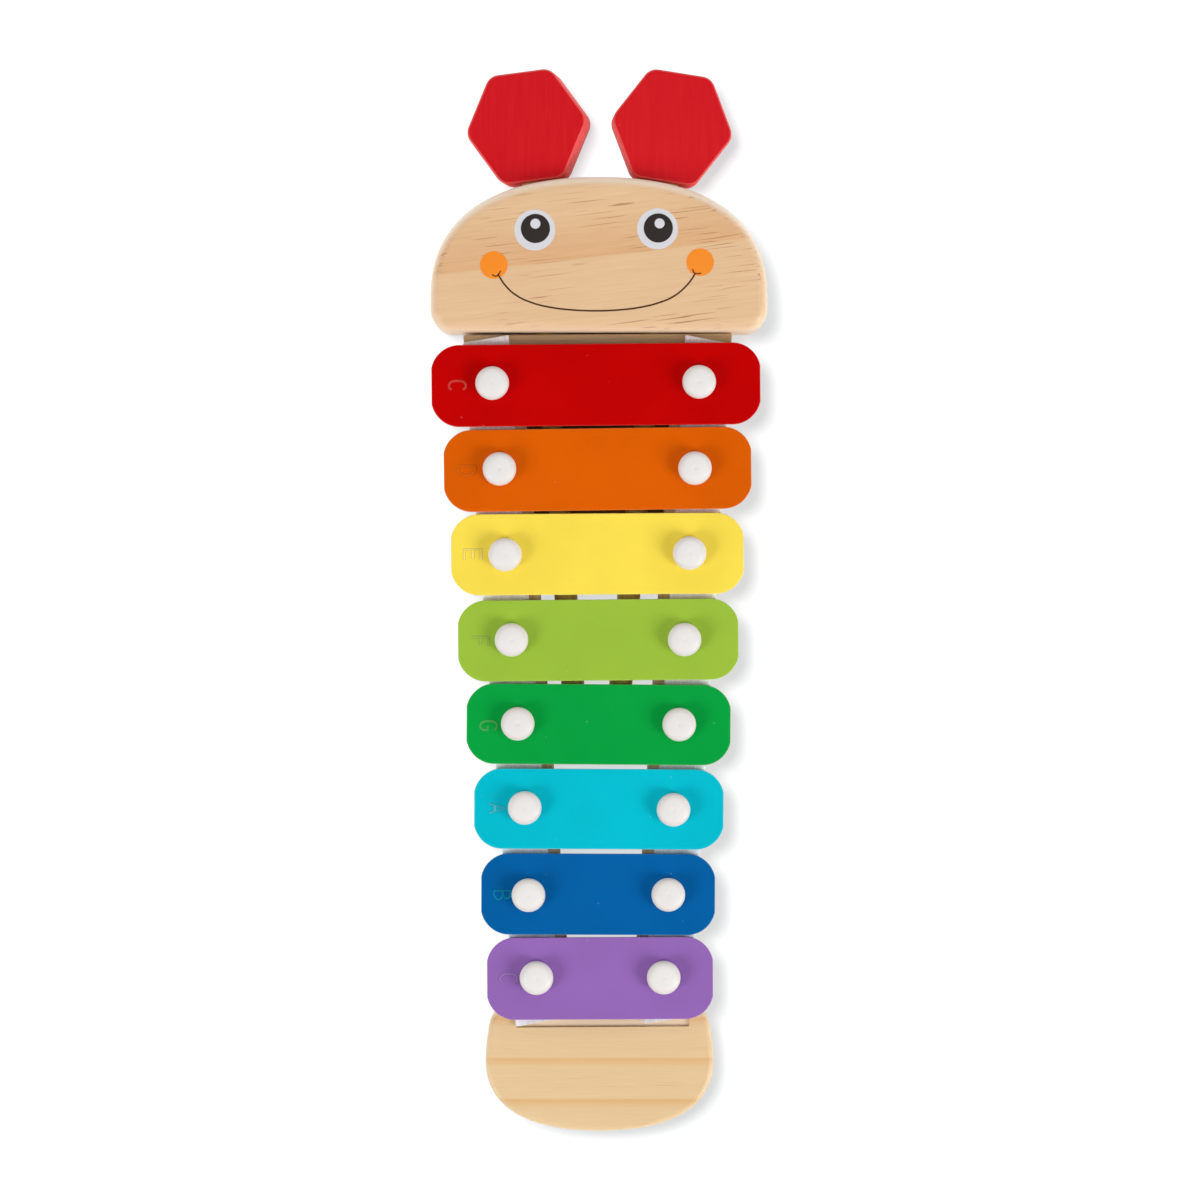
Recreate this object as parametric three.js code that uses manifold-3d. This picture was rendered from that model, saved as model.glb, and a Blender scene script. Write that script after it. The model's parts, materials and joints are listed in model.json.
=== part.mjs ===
// Toy xylophone with a smiling wooden head: a tapered frame on two rails, eight loose metal
// bars held by white pins, a rounded tail, and two mallets kept in holes through the head.
// Millimetres, +Z up, +Y towards the head. It stands on z = 0, with the origin under the
// middle of its outline.

import * as THREE from 'three';
import { mergeVertices } from 'three/addons/utils/BufferGeometryUtils.js';
import Module from 'manifold-3d';

const wasm = await Module();
wasm.setup();

// Fits
const clearance = 0.3; // left between neighbours that touch on the real toy
const overrun = 3; // how far a cutter passes the surface that it opens

// Bars, from the head to the tail
const barWidth = 29.6;
const barGap = 1.5;
const barThickness = 2;
const barPlay = 0.9; // how far a bar can lift before it meets its pin heads
const barEdgeEase = 0.3;
const barCornerLength = 9.4; // of a corner arc, measured along the bar
const barCornerRise = 7.8; // and across it
const longestBar = 120.2;
const barList = [ // lengthShare is of the longest bar
  { note: 'c_low', lengthShare: 1, turnDegrees: 0.15, colour: 0xc20000 },
  { note: 'd', lengthShare: 0.9326, turnDegrees: 0.35, colour: 0xdd5e00 },
  { note: 'e', lengthShare: 0.8902, turnDegrees: 0, colour: 0xfbe050 },
  { note: 'f', lengthShare: 0.8536, turnDegrees: 0.1, colour: 0x9cc03e },
  { note: 'g', lengthShare: 0.8012, turnDegrees: -0.9, colour: 0x03a03f },
  { note: 'a', lengthShare: 0.7562, turnDegrees: -0.7, colour: 0x00bdd0 },
  { note: 'b', lengthShare: 0.7105, turnDegrees: -0.6, colour: 0x005fa3 },
  { note: 'c_high', lengthShare: 0.6922, turnDegrees: -0.1, colour: 0x9468b5 },
];

// Pins
const pinShankDiameter = 5;
const pinHeadDiameter = 12.3;
const pinHeadRise = 4.2;
const pinRimShare = 0.25; // of the rise, straight up before the dome
const pinHoleSlack = 1; // round the shank in a bar
const pinOutset = 0.6; // outwards from the middle of the rail
const pinRowShift = -0.75; // the rows stand a little left of the frame's middle
const pinDepthShare = 0.45; // of the frame's height

// Frame
const frameHeight = 22;
const frameFrontWidth = 98.7;
const frameRearWidth = 63.4;
const frontMargin = 19; // from the frame's front end to the first row of pins
const rearMargin = 17.5;
const memberDepth = 12;
const trayLength = 68; // of the thin board under the sticks, behind the front cross-member
const trayThickness = 3;
const frameSkewDegrees = 0.4; // the frame is glued in slightly askew
const frameShift = 0.2;

// Felt strips on the rails, with ends cut askew by hand
const feltWidth = 16;
const feltThickness = 1.5;
const feltShift = -0.9;
const feltSetbacks = {
  left: { frontInner: 0.7, frontOuter: 4.5, rearInner: 1.9, rearOuter: 0.4 },
  right: { frontInner: 0.5, frontOuter: 3.9, rearInner: 1.2, rearOuter: 3.4 },
};

// Dowels in the glued joints
const dowelDiameter = 6;
const dowelLength = 24;
const dowelInMember = 8;
const dowelEndEase = 0.6;
const dowelHeightShare = 0.32; // of the frame's height
const innerDowelShare = 0.35; // of the spacing of the mallet holes

// Head
const headBack = 98.2;
const headWidth = 123.3;
const headHeight = 30;
const headShoulder = 13.2; // from the back edge to the widest line
const headDome = 43.2; // from the widest line to the top of the outline
const headCornerRadius = 8;
const headRoundover = 2.2;
const domePower = 2.33; // 2 is an ellipse, and more is squarer

// Tail
const tailWidth = 83.7;
const tailShift = 0.2;
const tailShoulder = 12.6; // from the end of the frame to the widest line
const tailBulge = 25.7;
const tailHornLength = 8.3;
const tailHornTaper = 1; // how much narrower each side is where its horn starts to round
const tailHornRadius = 10;
const tailRoundover = 2;

// Mallets
const stickDiameter = 8.5;
const stickSlack = 0.35; // round the stick in its holes
const stickReach = 146; // behind the head
const stickInHead = 25; // glued into the mallet's own head
const stickSpacing = 39.6; // of the two axes at the back of the head
const stickRailGap = 4.35; // between a stick and its rail, at the back of the head
const malletWidth = 39.4; // across two flats beside the stick
const malletLength = 40.6; // along the stick
const malletThickness = 18;
const malletSides = 6;
const malletCornerRadius = 4.7;
const malletEdgeEase = 1.1;
const malletLift = 3.5; // clear of the table, so that the head can roll
const mallets = {
  left: { side: -1, leanDegrees: 4.5, rollDegrees: 6.5, headTurnDegrees: 2.3 },
  right: { side: 1, leanDegrees: 5.2, rollDegrees: 2.5, headTurnDegrees: 3.6 },
};

// How finely round shapes are cut
const domeSteps = 20;
const cornerSteps = 3;
const roundoverSteps = 3;
const barEdgeSteps = 1;
const malletEdgeSteps = 2;
const holeSides = 12;
const stickSides = 16;
const pinSides = 12;
const pinDomeSteps = 3;

// Places that follow from the sizes above
const barPitch = barWidth + barGap;
const skewRoom = frameFrontWidth / 2 * Math.sin(radians(frameSkewDegrees));
const frameFront = headBack - clearance - skewRoom;
const firstRow = frameFront - frontMargin;
const lastRow = firstRow - barPitch * (barList.length - 1);
const frameRear = lastRow - rearMargin;
const railWidth = frameEdge(headBack) - (stickSpacing + stickDiameter) / 2 - stickRailGap;
const railFront = frameFront - memberDepth - clearance;
const railRear = frameRear + memberDepth + clearance;
const dowelHeight = frameHeight * dowelHeightShare;
const innerDowelX = stickSpacing * innerDowelShare / 2;
const pinDepth = frameHeight * pinDepthShare;
const feltBottom = frameHeight + clearance;
const barBottom = feltBottom + feltThickness + clearance;
const pinHeadBottom = barBottom + barThickness + barPlay + clearance;
const stickHeight = malletThickness / 2 + malletLift;
const tailNotch = frameRear - clearance;

const wood = { color: 0xe4be91, roughness: 0.55, metalness: 0 };
const frameWood = { color: 0xd9b78c, roughness: 0.65, metalness: 0 };
const stickWood = { color: 0xdcb98a, roughness: 0.6, metalness: 0 };
const felt = { color: 0xe6e8f0, roughness: 0.95, metalness: 0 };
const plastic = { color: 0xebe6e4, roughness: 0.35, metalness: 0 };
const redPaint = { color: 0xd01c24, roughness: 0.4, metalness: 0 };

function radians(degrees) {
  return THREE.MathUtils.degToRad(degrees);
}

// A solid for cutting and joining, from a closed geometry.
function toSolid(geometry) {
  const bare = geometry.clone();
  bare.deleteAttribute('normal');
  bare.deleteAttribute('uv');
  const merged = mergeVertices(bare);
  const vertProperties = new Float32Array(merged.attributes.position.array);
  const triVerts = new Uint32Array(merged.index.array);
  return new wasm.Manifold(new wasm.Mesh({ numProp: 3, vertProperties, triVerts }));
}

function toGeometry(solid) {
  const mesh = solid.getMesh();
  const geometry = new THREE.BufferGeometry();
  geometry.setAttribute('position', new THREE.BufferAttribute(mesh.vertProperties, 3));
  geometry.setIndex(new THREE.BufferAttribute(mesh.triVerts, 1));
  geometry.computeVertexNormals();
  return geometry;
}

function cut(geometry, cutters) {
  const solid = cutters.reduce((body, cutter) => body.subtract(toSolid(cutter)), toSolid(geometry));
  return toGeometry(solid);
}

function addPiece(parent, name, geometry, look) {
  const piece = new THREE.Mesh(geometry, new THREE.MeshStandardMaterial(look));
  piece.name = name;
  parent.add(piece);
  return piece;
}

// A round bar between two points, for a hole or a dowel.
function rod(diameter, from, to, sides) {
  const along = to.clone().sub(from);
  const geometry = new THREE.CylinderGeometry(diameter / 2, diameter / 2, along.length(), sides);
  const upright = new THREE.Vector3(0, 1, 0);
  const turn = new THREE.Quaternion().setFromUnitVectors(upright, along.clone().normalize());
  geometry.applyQuaternion(turn);
  const middle = from.clone().lerp(to, 1 / 2);
  return geometry.translate(middle.x, middle.y, middle.z);
}

// A board of the given outline, standing from z = 0, with its edges rounded over by ease.
function board(shape, height, ease, steps) {
  const geometry = new THREE.ExtrudeGeometry(shape, {
    depth: height - 2 * ease,
    bevelEnabled: ease > 0,
    bevelThickness: ease,
    bevelSize: ease,
    bevelOffset: -ease,
    bevelSegments: steps,
    curveSegments: cornerSteps,
  });
  return geometry.translate(0, 0, ease);
}

function shapeThrough(points) {
  return new THREE.Shape(points.map(([x, y]) => new THREE.Vector2(x, y)));
}

// Half a squared-off ellipse, from its right end over the top (rise > 0) or bottom to its left.
function dome(centreX, centreY, halfWidth, rise) {
  const points = [];
  for (let i = 0; i <= domeSteps; i += 1) {
    const angle = Math.PI * i / domeSteps;
    const across = Math.cos(angle);
    const x = centreX + halfWidth * Math.sign(across) * Math.abs(across) ** (2 / domePower);
    points.push([x, centreY + rise * Math.sin(angle) ** (2 / domePower)]);
  }
  return points;
}

// The height of the head's outline above the back edge at a distance from its middle.
function domeEdge(x) {
  const across = Math.min(1, Math.abs(x) / (headWidth / 2));
  return headBack + headShoulder + headDome * (1 - across ** domePower) ** (1 / domePower);
}

// The frame's middle line is turned a little about the vertical.
const part = new THREE.Group();
const frame = new THREE.Group();
frame.position.x = frameShift;
frame.rotation.z = radians(frameSkewDegrees);
frame.updateMatrixWorld();
part.add(frame);

// The frame's outer edge and the middle of its rail, as distances from its own middle line.
function frameEdge(y) {
  const along = (frameFront - y) / (frameFront - frameRear);
  return (frameFrontWidth + (frameRearWidth - frameFrontWidth) * along) / 2;
}

function railMiddle(y) {
  return frameEdge(y) - railWidth / 2;
}

function railInner(y) {
  return frameEdge(y) - railWidth;
}

// Mallet axes. A mallet stands in its own group, whose origin lies on the stick's axis where
// the rear flat of its head is, and whose +Y runs along the stick to the head.
function malletOutline() {
  const shape = new THREE.Shape();
  const half = malletWidth / 2;
  const halfSide = Math.PI / malletSides; // the angle of half a side
  const corner = half / Math.cos(halfSide);
  const lengthwise = malletLength / malletWidth;
  const corners = [];
  for (let i = 0; i < malletSides; i += 1) {
    const angle = 2 * halfSide * i;
    corners.push(new THREE.Vector2(corner * Math.cos(angle), corner * Math.sin(angle)));
  }
  const tangent = malletCornerRadius * Math.tan(halfSide);
  corners.forEach((point, i) => {
    const last = corners[(i + malletSides - 1) % malletSides];
    const next = corners[(i + 1) % malletSides];
    const before = last.clone().sub(point).setLength(tangent).add(point);
    const after = next.clone().sub(point).setLength(tangent).add(point);
    if (i === 0) shape.moveTo(before.x, before.y);
    else shape.lineTo(before.x, before.y);
    shape.quadraticCurveTo(point.x, point.y, after.x, after.y);
  });
  const points = shape.getPoints(cornerSteps).slice(0, -1);
  return points.map((point) => [point.x, point.y * lengthwise]);
}

// The outline of a mallet's head in its group, turned about its own middle.
function malletHeadPoints(mallet) {
  const turn = radians(-mallet.side * mallet.headTurnDegrees);
  const middle = malletLength / 2;
  return malletOutline().map(([x, y]) => [
    x * Math.cos(turn) - y * Math.sin(turn),
    middle + x * Math.sin(turn) + y * Math.cos(turn),
  ]);
}

// Slides the mallet in until its head meets the dome of the big head.
function malletGroup(mallet) {
  const group = new THREE.Group();
  const lean = radians(-mallet.side * mallet.leanDegrees);
  const roll = radians(mallet.side * mallet.rollDegrees);
  group.rotation.set(0, roll, lean, 'ZYX');
  const along = new THREE.Vector3(-Math.sin(lean), Math.cos(lean), 0);
  const start = new THREE.Vector3(mallet.side * stickSpacing / 2, headBack, stickHeight);
  let travel = 0;
  for (const [x, y] of malletHeadPoints(mallet)) {
    for (const z of [-malletThickness / 2, malletThickness / 2]) {
      const point = new THREE.Vector3(x, y, z).applyEuler(group.rotation).add(start);
      const meets = (domeEdge(point.x) + clearance - point.y) / along.y;
      travel = Math.max(travel, meets);
    }
  }
  group.position.copy(start).addScaledVector(along, travel);
  group.updateMatrixWorld();
  return group;
}

const malletGroups = {
  left: malletGroup(mallets.left),
  right: malletGroup(mallets.right),
};

// Where a stick's axis crosses the line at a distance y, in the part's frame.
function stickPoint(side, y) {
  const mallet = mallets[side];
  const lean = radians(mallet.leanDegrees);
  const x = mallet.side * (stickSpacing / 2 + (y - headBack) * Math.tan(lean));
  return new THREE.Vector3(x, y, stickHeight);
}

// Dowel places: each has its joint plane and the middle line that it lies on. Those in the
// rails join them to the cross-members, and the inner ones join these to the head and tail.
const dowels = [];
for (const [side, sign] of [['left', -1], ['right', 1]]) {
  dowels.push({ name: `dowel_rail_front_${side}`, x: sign * railMiddle(railFront),
    inMember: frameFront - memberDepth, towards: -1 });
  dowels.push({ name: `dowel_rail_rear_${side}`, x: sign * railMiddle(railRear),
    inMember: frameRear + memberDepth, towards: 1 });
  dowels.push({ name: `dowel_head_${side}`, x: sign * innerDowelX,
    inMember: frameFront, towards: 1 });
  dowels.push({ name: `dowel_tail_${side}`, x: sign * innerDowelX,
    inMember: frameRear, towards: -1 });
}

// The ends of a dowel, made longer at both ends by extra.
function dowelEnds(dowel, extra) {
  const start = dowel.inMember - dowel.towards * (dowelInMember + extra);
  const end = dowel.inMember + dowel.towards * (dowelLength - dowelInMember + extra);
  return [
    new THREE.Vector3(dowel.x, start, dowelHeight),
    new THREE.Vector3(dowel.x, end, dowelHeight),
  ];
}

function dowelHole(dowel) {
  const [start, end] = dowelEnds(dowel, clearance);
  return rod(dowelDiameter + 2 * clearance, start, end, holeSides);
}

const dowelHoles = dowels.map(dowelHole);
const dowelHolesOutside = dowels.map((dowel) => dowelHole(dowel).applyMatrix4(frame.matrixWorld));

// Head: a thick board with a domed outline, two holes for the sticks and its dowels' holes.
function headOutline() {
  const half = headWidth / 2;
  const radius = headCornerRadius;
  const shape = new THREE.Shape();
  shape.moveTo(-half + radius, headBack);
  shape.lineTo(half - radius, headBack);
  shape.absarc(half - radius, headBack + radius, radius, -Math.PI / 2, 0, false);
  for (const [x, y] of dome(0, headBack + headShoulder, half, headDome)) {
    shape.lineTo(x, y);
  }
  shape.absarc(-half + radius, headBack + radius, radius, Math.PI, Math.PI * 3 / 2, false);
  return shape;
}

function stickHole(side, nearY, farY) {
  return rod(stickDiameter + 2 * stickSlack, stickPoint(side, nearY), stickPoint(side, farY),
    stickSides);
}

const headFront = headBack + headShoulder + headDome;
const headHoles = Object.keys(mallets).map((side) =>
  stickHole(side, headBack - overrun, headFront + overrun));
const headBoard = board(headOutline(), headHeight, headRoundover, roundoverSteps);
addPiece(part, 'head_block', cut(headBoard, [...headHoles, ...dowelHolesOutside]), wood);

// Tail: a rounded board whose two horns reach round the end of the frame.
function tailOutline() {
  const widest = tailNotch - tailShoulder;
  const half = tailWidth / 2;
  const top = tailNotch + tailHornLength;
  const radius = tailHornRadius;
  const shoulder = half - tailHornTaper;
  const shape = new THREE.Shape();
  shape.moveTo(tailShift + shoulder, top - radius);
  shape.absarc(tailShift + shoulder - radius, top - radius, radius, 0, Math.PI / 2, false);
  shape.lineTo(tailShift - shoulder + radius, top);
  shape.absarc(tailShift - shoulder + radius, top - radius, radius, Math.PI / 2, Math.PI, false);
  for (const [x, y] of dome(tailShift, widest, half, -tailBulge).reverse()) {
    shape.lineTo(x, y);
  }
  return shape;
}

function notchCutter() {
  const half = frameEdge(frameRear) + clearance;
  const flare = frameEdge(frameRear + tailHornLength + overrun) + clearance;
  const open = tailNotch + tailHornLength + overrun;
  const shape = shapeThrough([[-half, tailNotch], [half, tailNotch], [flare, open], [-flare, open]]);
  const depth = frameHeight + 2 * overrun;
  const geometry = new THREE.ExtrudeGeometry(shape, { depth, bevelEnabled: false });
  return geometry.translate(0, 0, -overrun).applyMatrix4(frame.matrixWorld);
}

const tailBoard = board(tailOutline(), frameHeight, tailRoundover, roundoverSteps);
addPiece(part, 'tail_block', cut(tailBoard, [notchCutter(), ...dowelHolesOutside]), wood);

// Frame: two cross-members across its whole width, a rail on each side between them, and a
// thin tray between the rails that keeps the sticks off the table.
function frameBoard(points, height) {
  return new THREE.ExtrudeGeometry(shapeThrough(points), { depth: height, bevelEnabled: false });
}

function crossBoard(y0, y1, edge, height) {
  const a = edge(y0);
  const b = edge(y1);
  return frameBoard([[-a, y0], [a, y0], [b, y1], [-b, y1]], height);
}

function crossMember(y0, y1) {
  return crossBoard(y0, y1, frameEdge, frameHeight);
}

const stickHolesInFrame = Object.keys(mallets).map((side) =>
  stickHole(side, railFront - overrun, headBack + overrun)
    .applyMatrix4(frame.matrixWorld.clone().invert()));
addPiece(frame, 'front_cross_member',
  cut(crossMember(frameFront - memberDepth, frameFront), [...stickHolesInFrame, ...dowelHoles]),
  frameWood);
addPiece(frame, 'rear_cross_member',
  cut(crossMember(frameRear, frameRear + memberDepth), dowelHoles), frameWood);

const tray = crossBoard(railFront - trayLength, railFront, (y) => railInner(y) - clearance,
  trayThickness);
addPiece(frame, 'stick_tray', tray, frameWood);

// Pins, in rows that follow the rails.
function pinPlace(sign, row) {
  const y = firstRow - barPitch * row;
  return new THREE.Vector3(pinRowShift + sign * (railMiddle(y) + pinOutset), y, 0);
}

function pinHole(sign, row, diameter, bottom, top) {
  const place = pinPlace(sign, row);
  return rod(diameter, place.clone().setZ(bottom), place.clone().setZ(top), holeSides);
}

for (const [side, sign] of [['left', -1], ['right', 1]]) {
  const rail = frameBoard([
    [sign * frameEdge(railRear), railRear],
    [sign * frameEdge(railFront), railFront],
    [sign * railInner(railFront), railFront],
    [sign * railInner(railRear), railRear],
  ], frameHeight);
  const seat = pinShankDiameter + 2 * clearance;
  const holes = barList.map((bar, row) =>
    pinHole(sign, row, seat, frameHeight - pinDepth - clearance, frameHeight + overrun));
  addPiece(frame, `rail_${side}`, cut(rail, [...holes, ...dowelHoles]), frameWood);
}

for (const dowel of dowels) {
  const radius = dowelDiameter / 2;
  const half = dowelLength / 2;
  const profile = [
    [0, -half],
    [radius - dowelEndEase, -half],
    [radius, -half + dowelEndEase],
    [radius, half - dowelEndEase],
    [radius - dowelEndEase, half],
    [0, half],
  ];
  const points = profile.map(([x, y]) => new THREE.Vector2(x, y));
  const piece = addPiece(frame, dowel.name, new THREE.LatheGeometry(points, holeSides), stickWood);
  const [start, end] = dowelEnds(dowel, 0);
  piece.position.copy(start).lerp(end, 1 / 2);
}

// Felt: a strip along each rail, holed for the pins.
for (const [side, sign] of [['left', -1], ['right', 1]]) {
  const setback = feltSetbacks[side];
  const corner = (y, across) => [sign * (railMiddle(y) + across * feltWidth / 2) + feltShift, y];
  const strip = new THREE.ExtrudeGeometry(shapeThrough([
    corner(frameFront - setback.frontInner, -1),
    corner(frameFront - setback.frontOuter, 1),
    corner(frameRear + setback.rearOuter, 1),
    corner(frameRear + setback.rearInner, -1),
  ]), { depth: feltThickness, bevelEnabled: false });
  const holes = barList.map((bar, row) =>
    pinHole(sign, row, pinShankDiameter + 2 * clearance, -overrun, feltThickness + overrun));
  const piece = addPiece(frame, `felt_${side}`, cut(strip, holes), felt);
  piece.position.z = feltBottom;
}

// Bars: each has straight ends between four corner arcs, and two holes wider than its pins.
function barOutline(length) {
  const half = length / 2;
  const side = barWidth / 2;
  const rise = barCornerRise;
  const run = barCornerLength;
  const radius = (run ** 2 + rise ** 2) / (2 * rise);
  const sweep = Math.asin(run / radius);
  const shape = new THREE.Shape();
  const right = Math.PI / 2;
  shape.moveTo(-half + run, -side);
  shape.lineTo(half - run, -side);
  shape.absarc(half - run, -side + radius, radius, -right, -right + sweep, false);
  shape.absarc(half - run, side - radius, radius, right - sweep, right, false);
  shape.absarc(-half + run, side - radius, radius, right, right + sweep, false);
  shape.absarc(-half + run, -side + radius, radius, -right - sweep, -right, false);
  return shape;
}

barList.forEach((bar, row) => {
  const outline = barOutline(longestBar * bar.lengthShare);
  const plate = board(outline, barThickness, barEdgeEase, barEdgeSteps);
  const spacing = railMiddle(firstRow - barPitch * row) + pinOutset;
  const holes = [-1, 1].map((sign) => rod(
    pinShankDiameter + 2 * pinHoleSlack,
    new THREE.Vector3(sign * spacing, 0, -overrun),
    new THREE.Vector3(sign * spacing, 0, barThickness + overrun),
    holeSides,
  ));
  const look = { color: bar.colour, roughness: 0.25, metalness: 0.1 };
  const piece = addPiece(frame, `bar_${bar.note}`, cut(plate, holes), look);
  piece.position.set(pinRowShift, firstRow - barPitch * row, barBottom);
  piece.rotation.z = radians(bar.turnDegrees);
});

// A pin's profile: a shank with a domed head, whose top is part of a sphere.
function pinProfile() {
  const shank = pinShankDiameter / 2;
  const head = pinHeadDiameter / 2;
  const rim = pinHeadRise * pinRimShare;
  const crown = pinHeadRise - rim;
  const sphere = (head ** 2 + crown ** 2) / (2 * crown);
  const sweep = Math.asin(head / sphere);
  const points = [
    [0, frameHeight - pinDepth],
    [shank, frameHeight - pinDepth],
    [shank, pinHeadBottom],
    [head, pinHeadBottom],
  ];
  for (let i = 0; i <= pinDomeSteps; i += 1) {
    const angle = sweep * (1 - i / pinDomeSteps);
    const z = pinHeadBottom + pinHeadRise - sphere * (1 - Math.cos(angle));
    points.push([sphere * Math.sin(angle), z]);
  }
  return points.map(([x, y]) => new THREE.Vector2(x, y));
}

const pinGeometry = new THREE.LatheGeometry(pinProfile(), pinSides).rotateX(Math.PI / 2);
barList.forEach((bar, row) => {
  for (const [side, sign] of [['left', -1], ['right', 1]]) {
    const piece = addPiece(frame, `pin_${bar.note}_${side}`, pinGeometry.clone(), plastic);
    piece.position.copy(pinPlace(sign, row));
  }
});

// Mallets: a hexagonal head on the end of a round stick.
function stickProfile(length) {
  const radius = stickDiameter / 2;
  const points = [[0, -length]];
  for (let i = 1; i <= cornerSteps; i += 1) {
    const angle = Math.PI / 2 * i / cornerSteps;
    points.push([radius * Math.sin(angle), -length + radius * (1 - Math.cos(angle))]);
  }
  points.push([radius, stickInHead], [0, stickInHead]);
  return points.map(([x, y]) => new THREE.Vector2(x, y));
}

for (const [side, mallet] of Object.entries(mallets)) {
  const group = malletGroups[side];
  part.add(group);
  const outline = shapeThrough(malletHeadPoints(mallet));
  const block = board(outline, malletThickness, malletEdgeEase, malletEdgeSteps);
  block.translate(0, 0, -malletThickness / 2);
  const bore = rod(stickDiameter + 2 * clearance, new THREE.Vector3(0, -malletLength, 0),
    new THREE.Vector3(0, stickInHead + clearance, 0), stickSides);
  addPiece(group, `mallet_head_${side}`, cut(block, [bore]), redPaint);
  const seat = new THREE.Vector3(mallet.side * stickSpacing / 2, headBack, stickHeight);
  const length = group.position.distanceTo(seat) + stickReach;
  addPiece(group, `mallet_stick_${side}`,
    new THREE.LatheGeometry(stickProfile(length), stickSides), stickWood);
}

export default part;
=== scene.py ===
"""Toy xylophone with a smiling wooden head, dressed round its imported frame.

Metres, +Z up and +Y towards the head. Eight enamelled bars lie loose on felt along a tapered
pine frame, sixteen white pins hold them, and two mallets are kept in holes through the head.
"""

import json
import logging
import math
from collections.abc import Callable, Iterator, Mapping, Sequence
from contextlib import contextmanager
from dataclasses import dataclass, field
from enum import Enum
from typing import Any

import bpy
from mathutils import Matrix, Vector


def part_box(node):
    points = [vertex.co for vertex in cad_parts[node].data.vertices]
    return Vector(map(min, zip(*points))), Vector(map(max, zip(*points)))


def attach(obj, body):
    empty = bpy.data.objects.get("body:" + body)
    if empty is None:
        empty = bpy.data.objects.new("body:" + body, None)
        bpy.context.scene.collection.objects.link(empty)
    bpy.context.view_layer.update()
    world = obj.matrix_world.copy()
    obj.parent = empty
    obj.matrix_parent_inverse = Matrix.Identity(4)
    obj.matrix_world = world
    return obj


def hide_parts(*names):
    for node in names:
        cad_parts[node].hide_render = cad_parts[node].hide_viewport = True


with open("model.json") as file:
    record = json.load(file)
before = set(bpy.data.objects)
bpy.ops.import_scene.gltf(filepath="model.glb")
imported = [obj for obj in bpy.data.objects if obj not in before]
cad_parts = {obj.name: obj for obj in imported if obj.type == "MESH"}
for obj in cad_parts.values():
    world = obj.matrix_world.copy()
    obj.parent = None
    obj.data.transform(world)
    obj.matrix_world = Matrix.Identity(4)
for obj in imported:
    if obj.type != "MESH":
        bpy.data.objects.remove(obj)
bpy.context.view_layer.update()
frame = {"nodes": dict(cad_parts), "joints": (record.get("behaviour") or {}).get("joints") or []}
log = logging.getLogger("xylophone")

Triple = tuple[float, float, float]
Colour = Triple
Point = tuple[float, float]
Object = bpy.types.Object
Node = bpy.types.Node
Tree = bpy.types.NodeTree
Socket = bpy.types.NodeSocket
Sockets = Mapping[str, Socket]

BASE = "base"  # the body that everything fixed rides on
CIRCLE = 0.5523  # how full a quarter of a circle is, as a Bezier curve
DOME = 0.6473  # and a quarter of the squarer ellipse of head and tail
MERGE = 1e-6  # points closer than this are one
SHARP_EDGE = math.radians(50)  # an edge that turns further is rounded
OVERRUN = 0.003  # how far a cutter reaches past what it cuts
LEVEL = 0.999  # a normal this near to upright is that of a level face


class Side(Enum):
    """The two sides of the toy."""

    LEFT = "left"
    RIGHT = "right"

    @property
    def sign(self) -> int:
        """Minus one on the left and one on the right."""
        return -1 if self is Side.LEFT else 1


class Part(Enum):
    """What an edit-mode selection is made of."""

    VERT = "VERT"
    FACE = "FACE"


class Knot(Enum):
    """How a drawn line passes a point."""

    SHARP = "VECTOR"
    ROUND = "AUTO"


# Selecting and editing


def deselect_all() -> None:
    """Leaves nothing selected."""
    bpy.ops.object.select_all(action="DESELECT")


def take_up(piece: Object) -> None:
    """Selects one piece alone and makes it active.

    Args:
        piece: The object to work on.
    """
    deselect_all()
    piece.select_set(True)
    bpy.context.view_layer.objects.active = piece


def fresh(name: str) -> Object:
    """Names the object that an operator has just made.

    Args:
        name: The name for the object and its data.

    Returns:
        The new object.
    """
    piece = bpy.context.object
    piece.name = piece.data.name = name
    return piece


@contextmanager
def editing(piece: Object, kind: Part = Part.FACE) -> Iterator[None]:
    """Opens a piece in edit mode for the length of a with block.

    Args:
        piece: The mesh to edit.
        kind: The selection mode.

    Returns:
        Nothing that is used inside the block.
    """
    take_up(piece)
    bpy.ops.object.mode_set(mode="EDIT")
    bpy.ops.mesh.select_mode(type=kind.value)
    try:
        yield
    finally:
        bpy.ops.object.mode_set(mode="OBJECT")


def pick_faces(piece: Object, test: Callable[[bpy.types.MeshPolygon], bool]) -> None:
    """Selects the faces that pass a test, and nothing else.

    Args:
        piece: The mesh to select in.
        test: Says whether a face is wanted.
    """
    with editing(piece):
        bpy.ops.mesh.select_all(action="DESELECT")
    for face in piece.data.polygons:
        if test(face):
            face.select = True


def modify(piece: Object, kind: str, **settings: Any) -> None:
    """Adds a modifier and applies it.

    Args:
        piece: The mesh to change.
        kind: Blender's name for the modifier.
        settings: Its values.
    """
    take_up(piece)
    modifier = piece.modifiers.new(kind.title(), kind)
    for key, value in settings.items():
        setattr(modifier, key, value)
    bpy.ops.object.modifier_apply(modifier=modifier.name)


def settle(piece: Object, place: Matrix | None = None) -> Object:
    """Moves a piece by a matrix and puts its place into its mesh.

    Args:
        piece: The finished mesh.
        place: Where it goes, or None to keep it where it is.

    Returns:
        The piece, whose object now sits at the origin.
    """
    take_up(piece)
    if place is not None:
        piece.matrix_world = place @ piece.matrix_world
    bpy.ops.object.transform_apply(location=True, rotation=True, scale=True)
    return piece


def tidy_mesh(piece: Object) -> None:
    """Merges doubled points and turns all faces outwards.

    Args:
        piece: The mesh to tidy.
    """
    with editing(piece, Part.VERT):
        bpy.ops.mesh.select_all(action="SELECT")
        bpy.ops.mesh.remove_doubles(threshold=MERGE)
        bpy.ops.mesh.normals_make_consistent(inside=False)


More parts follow.
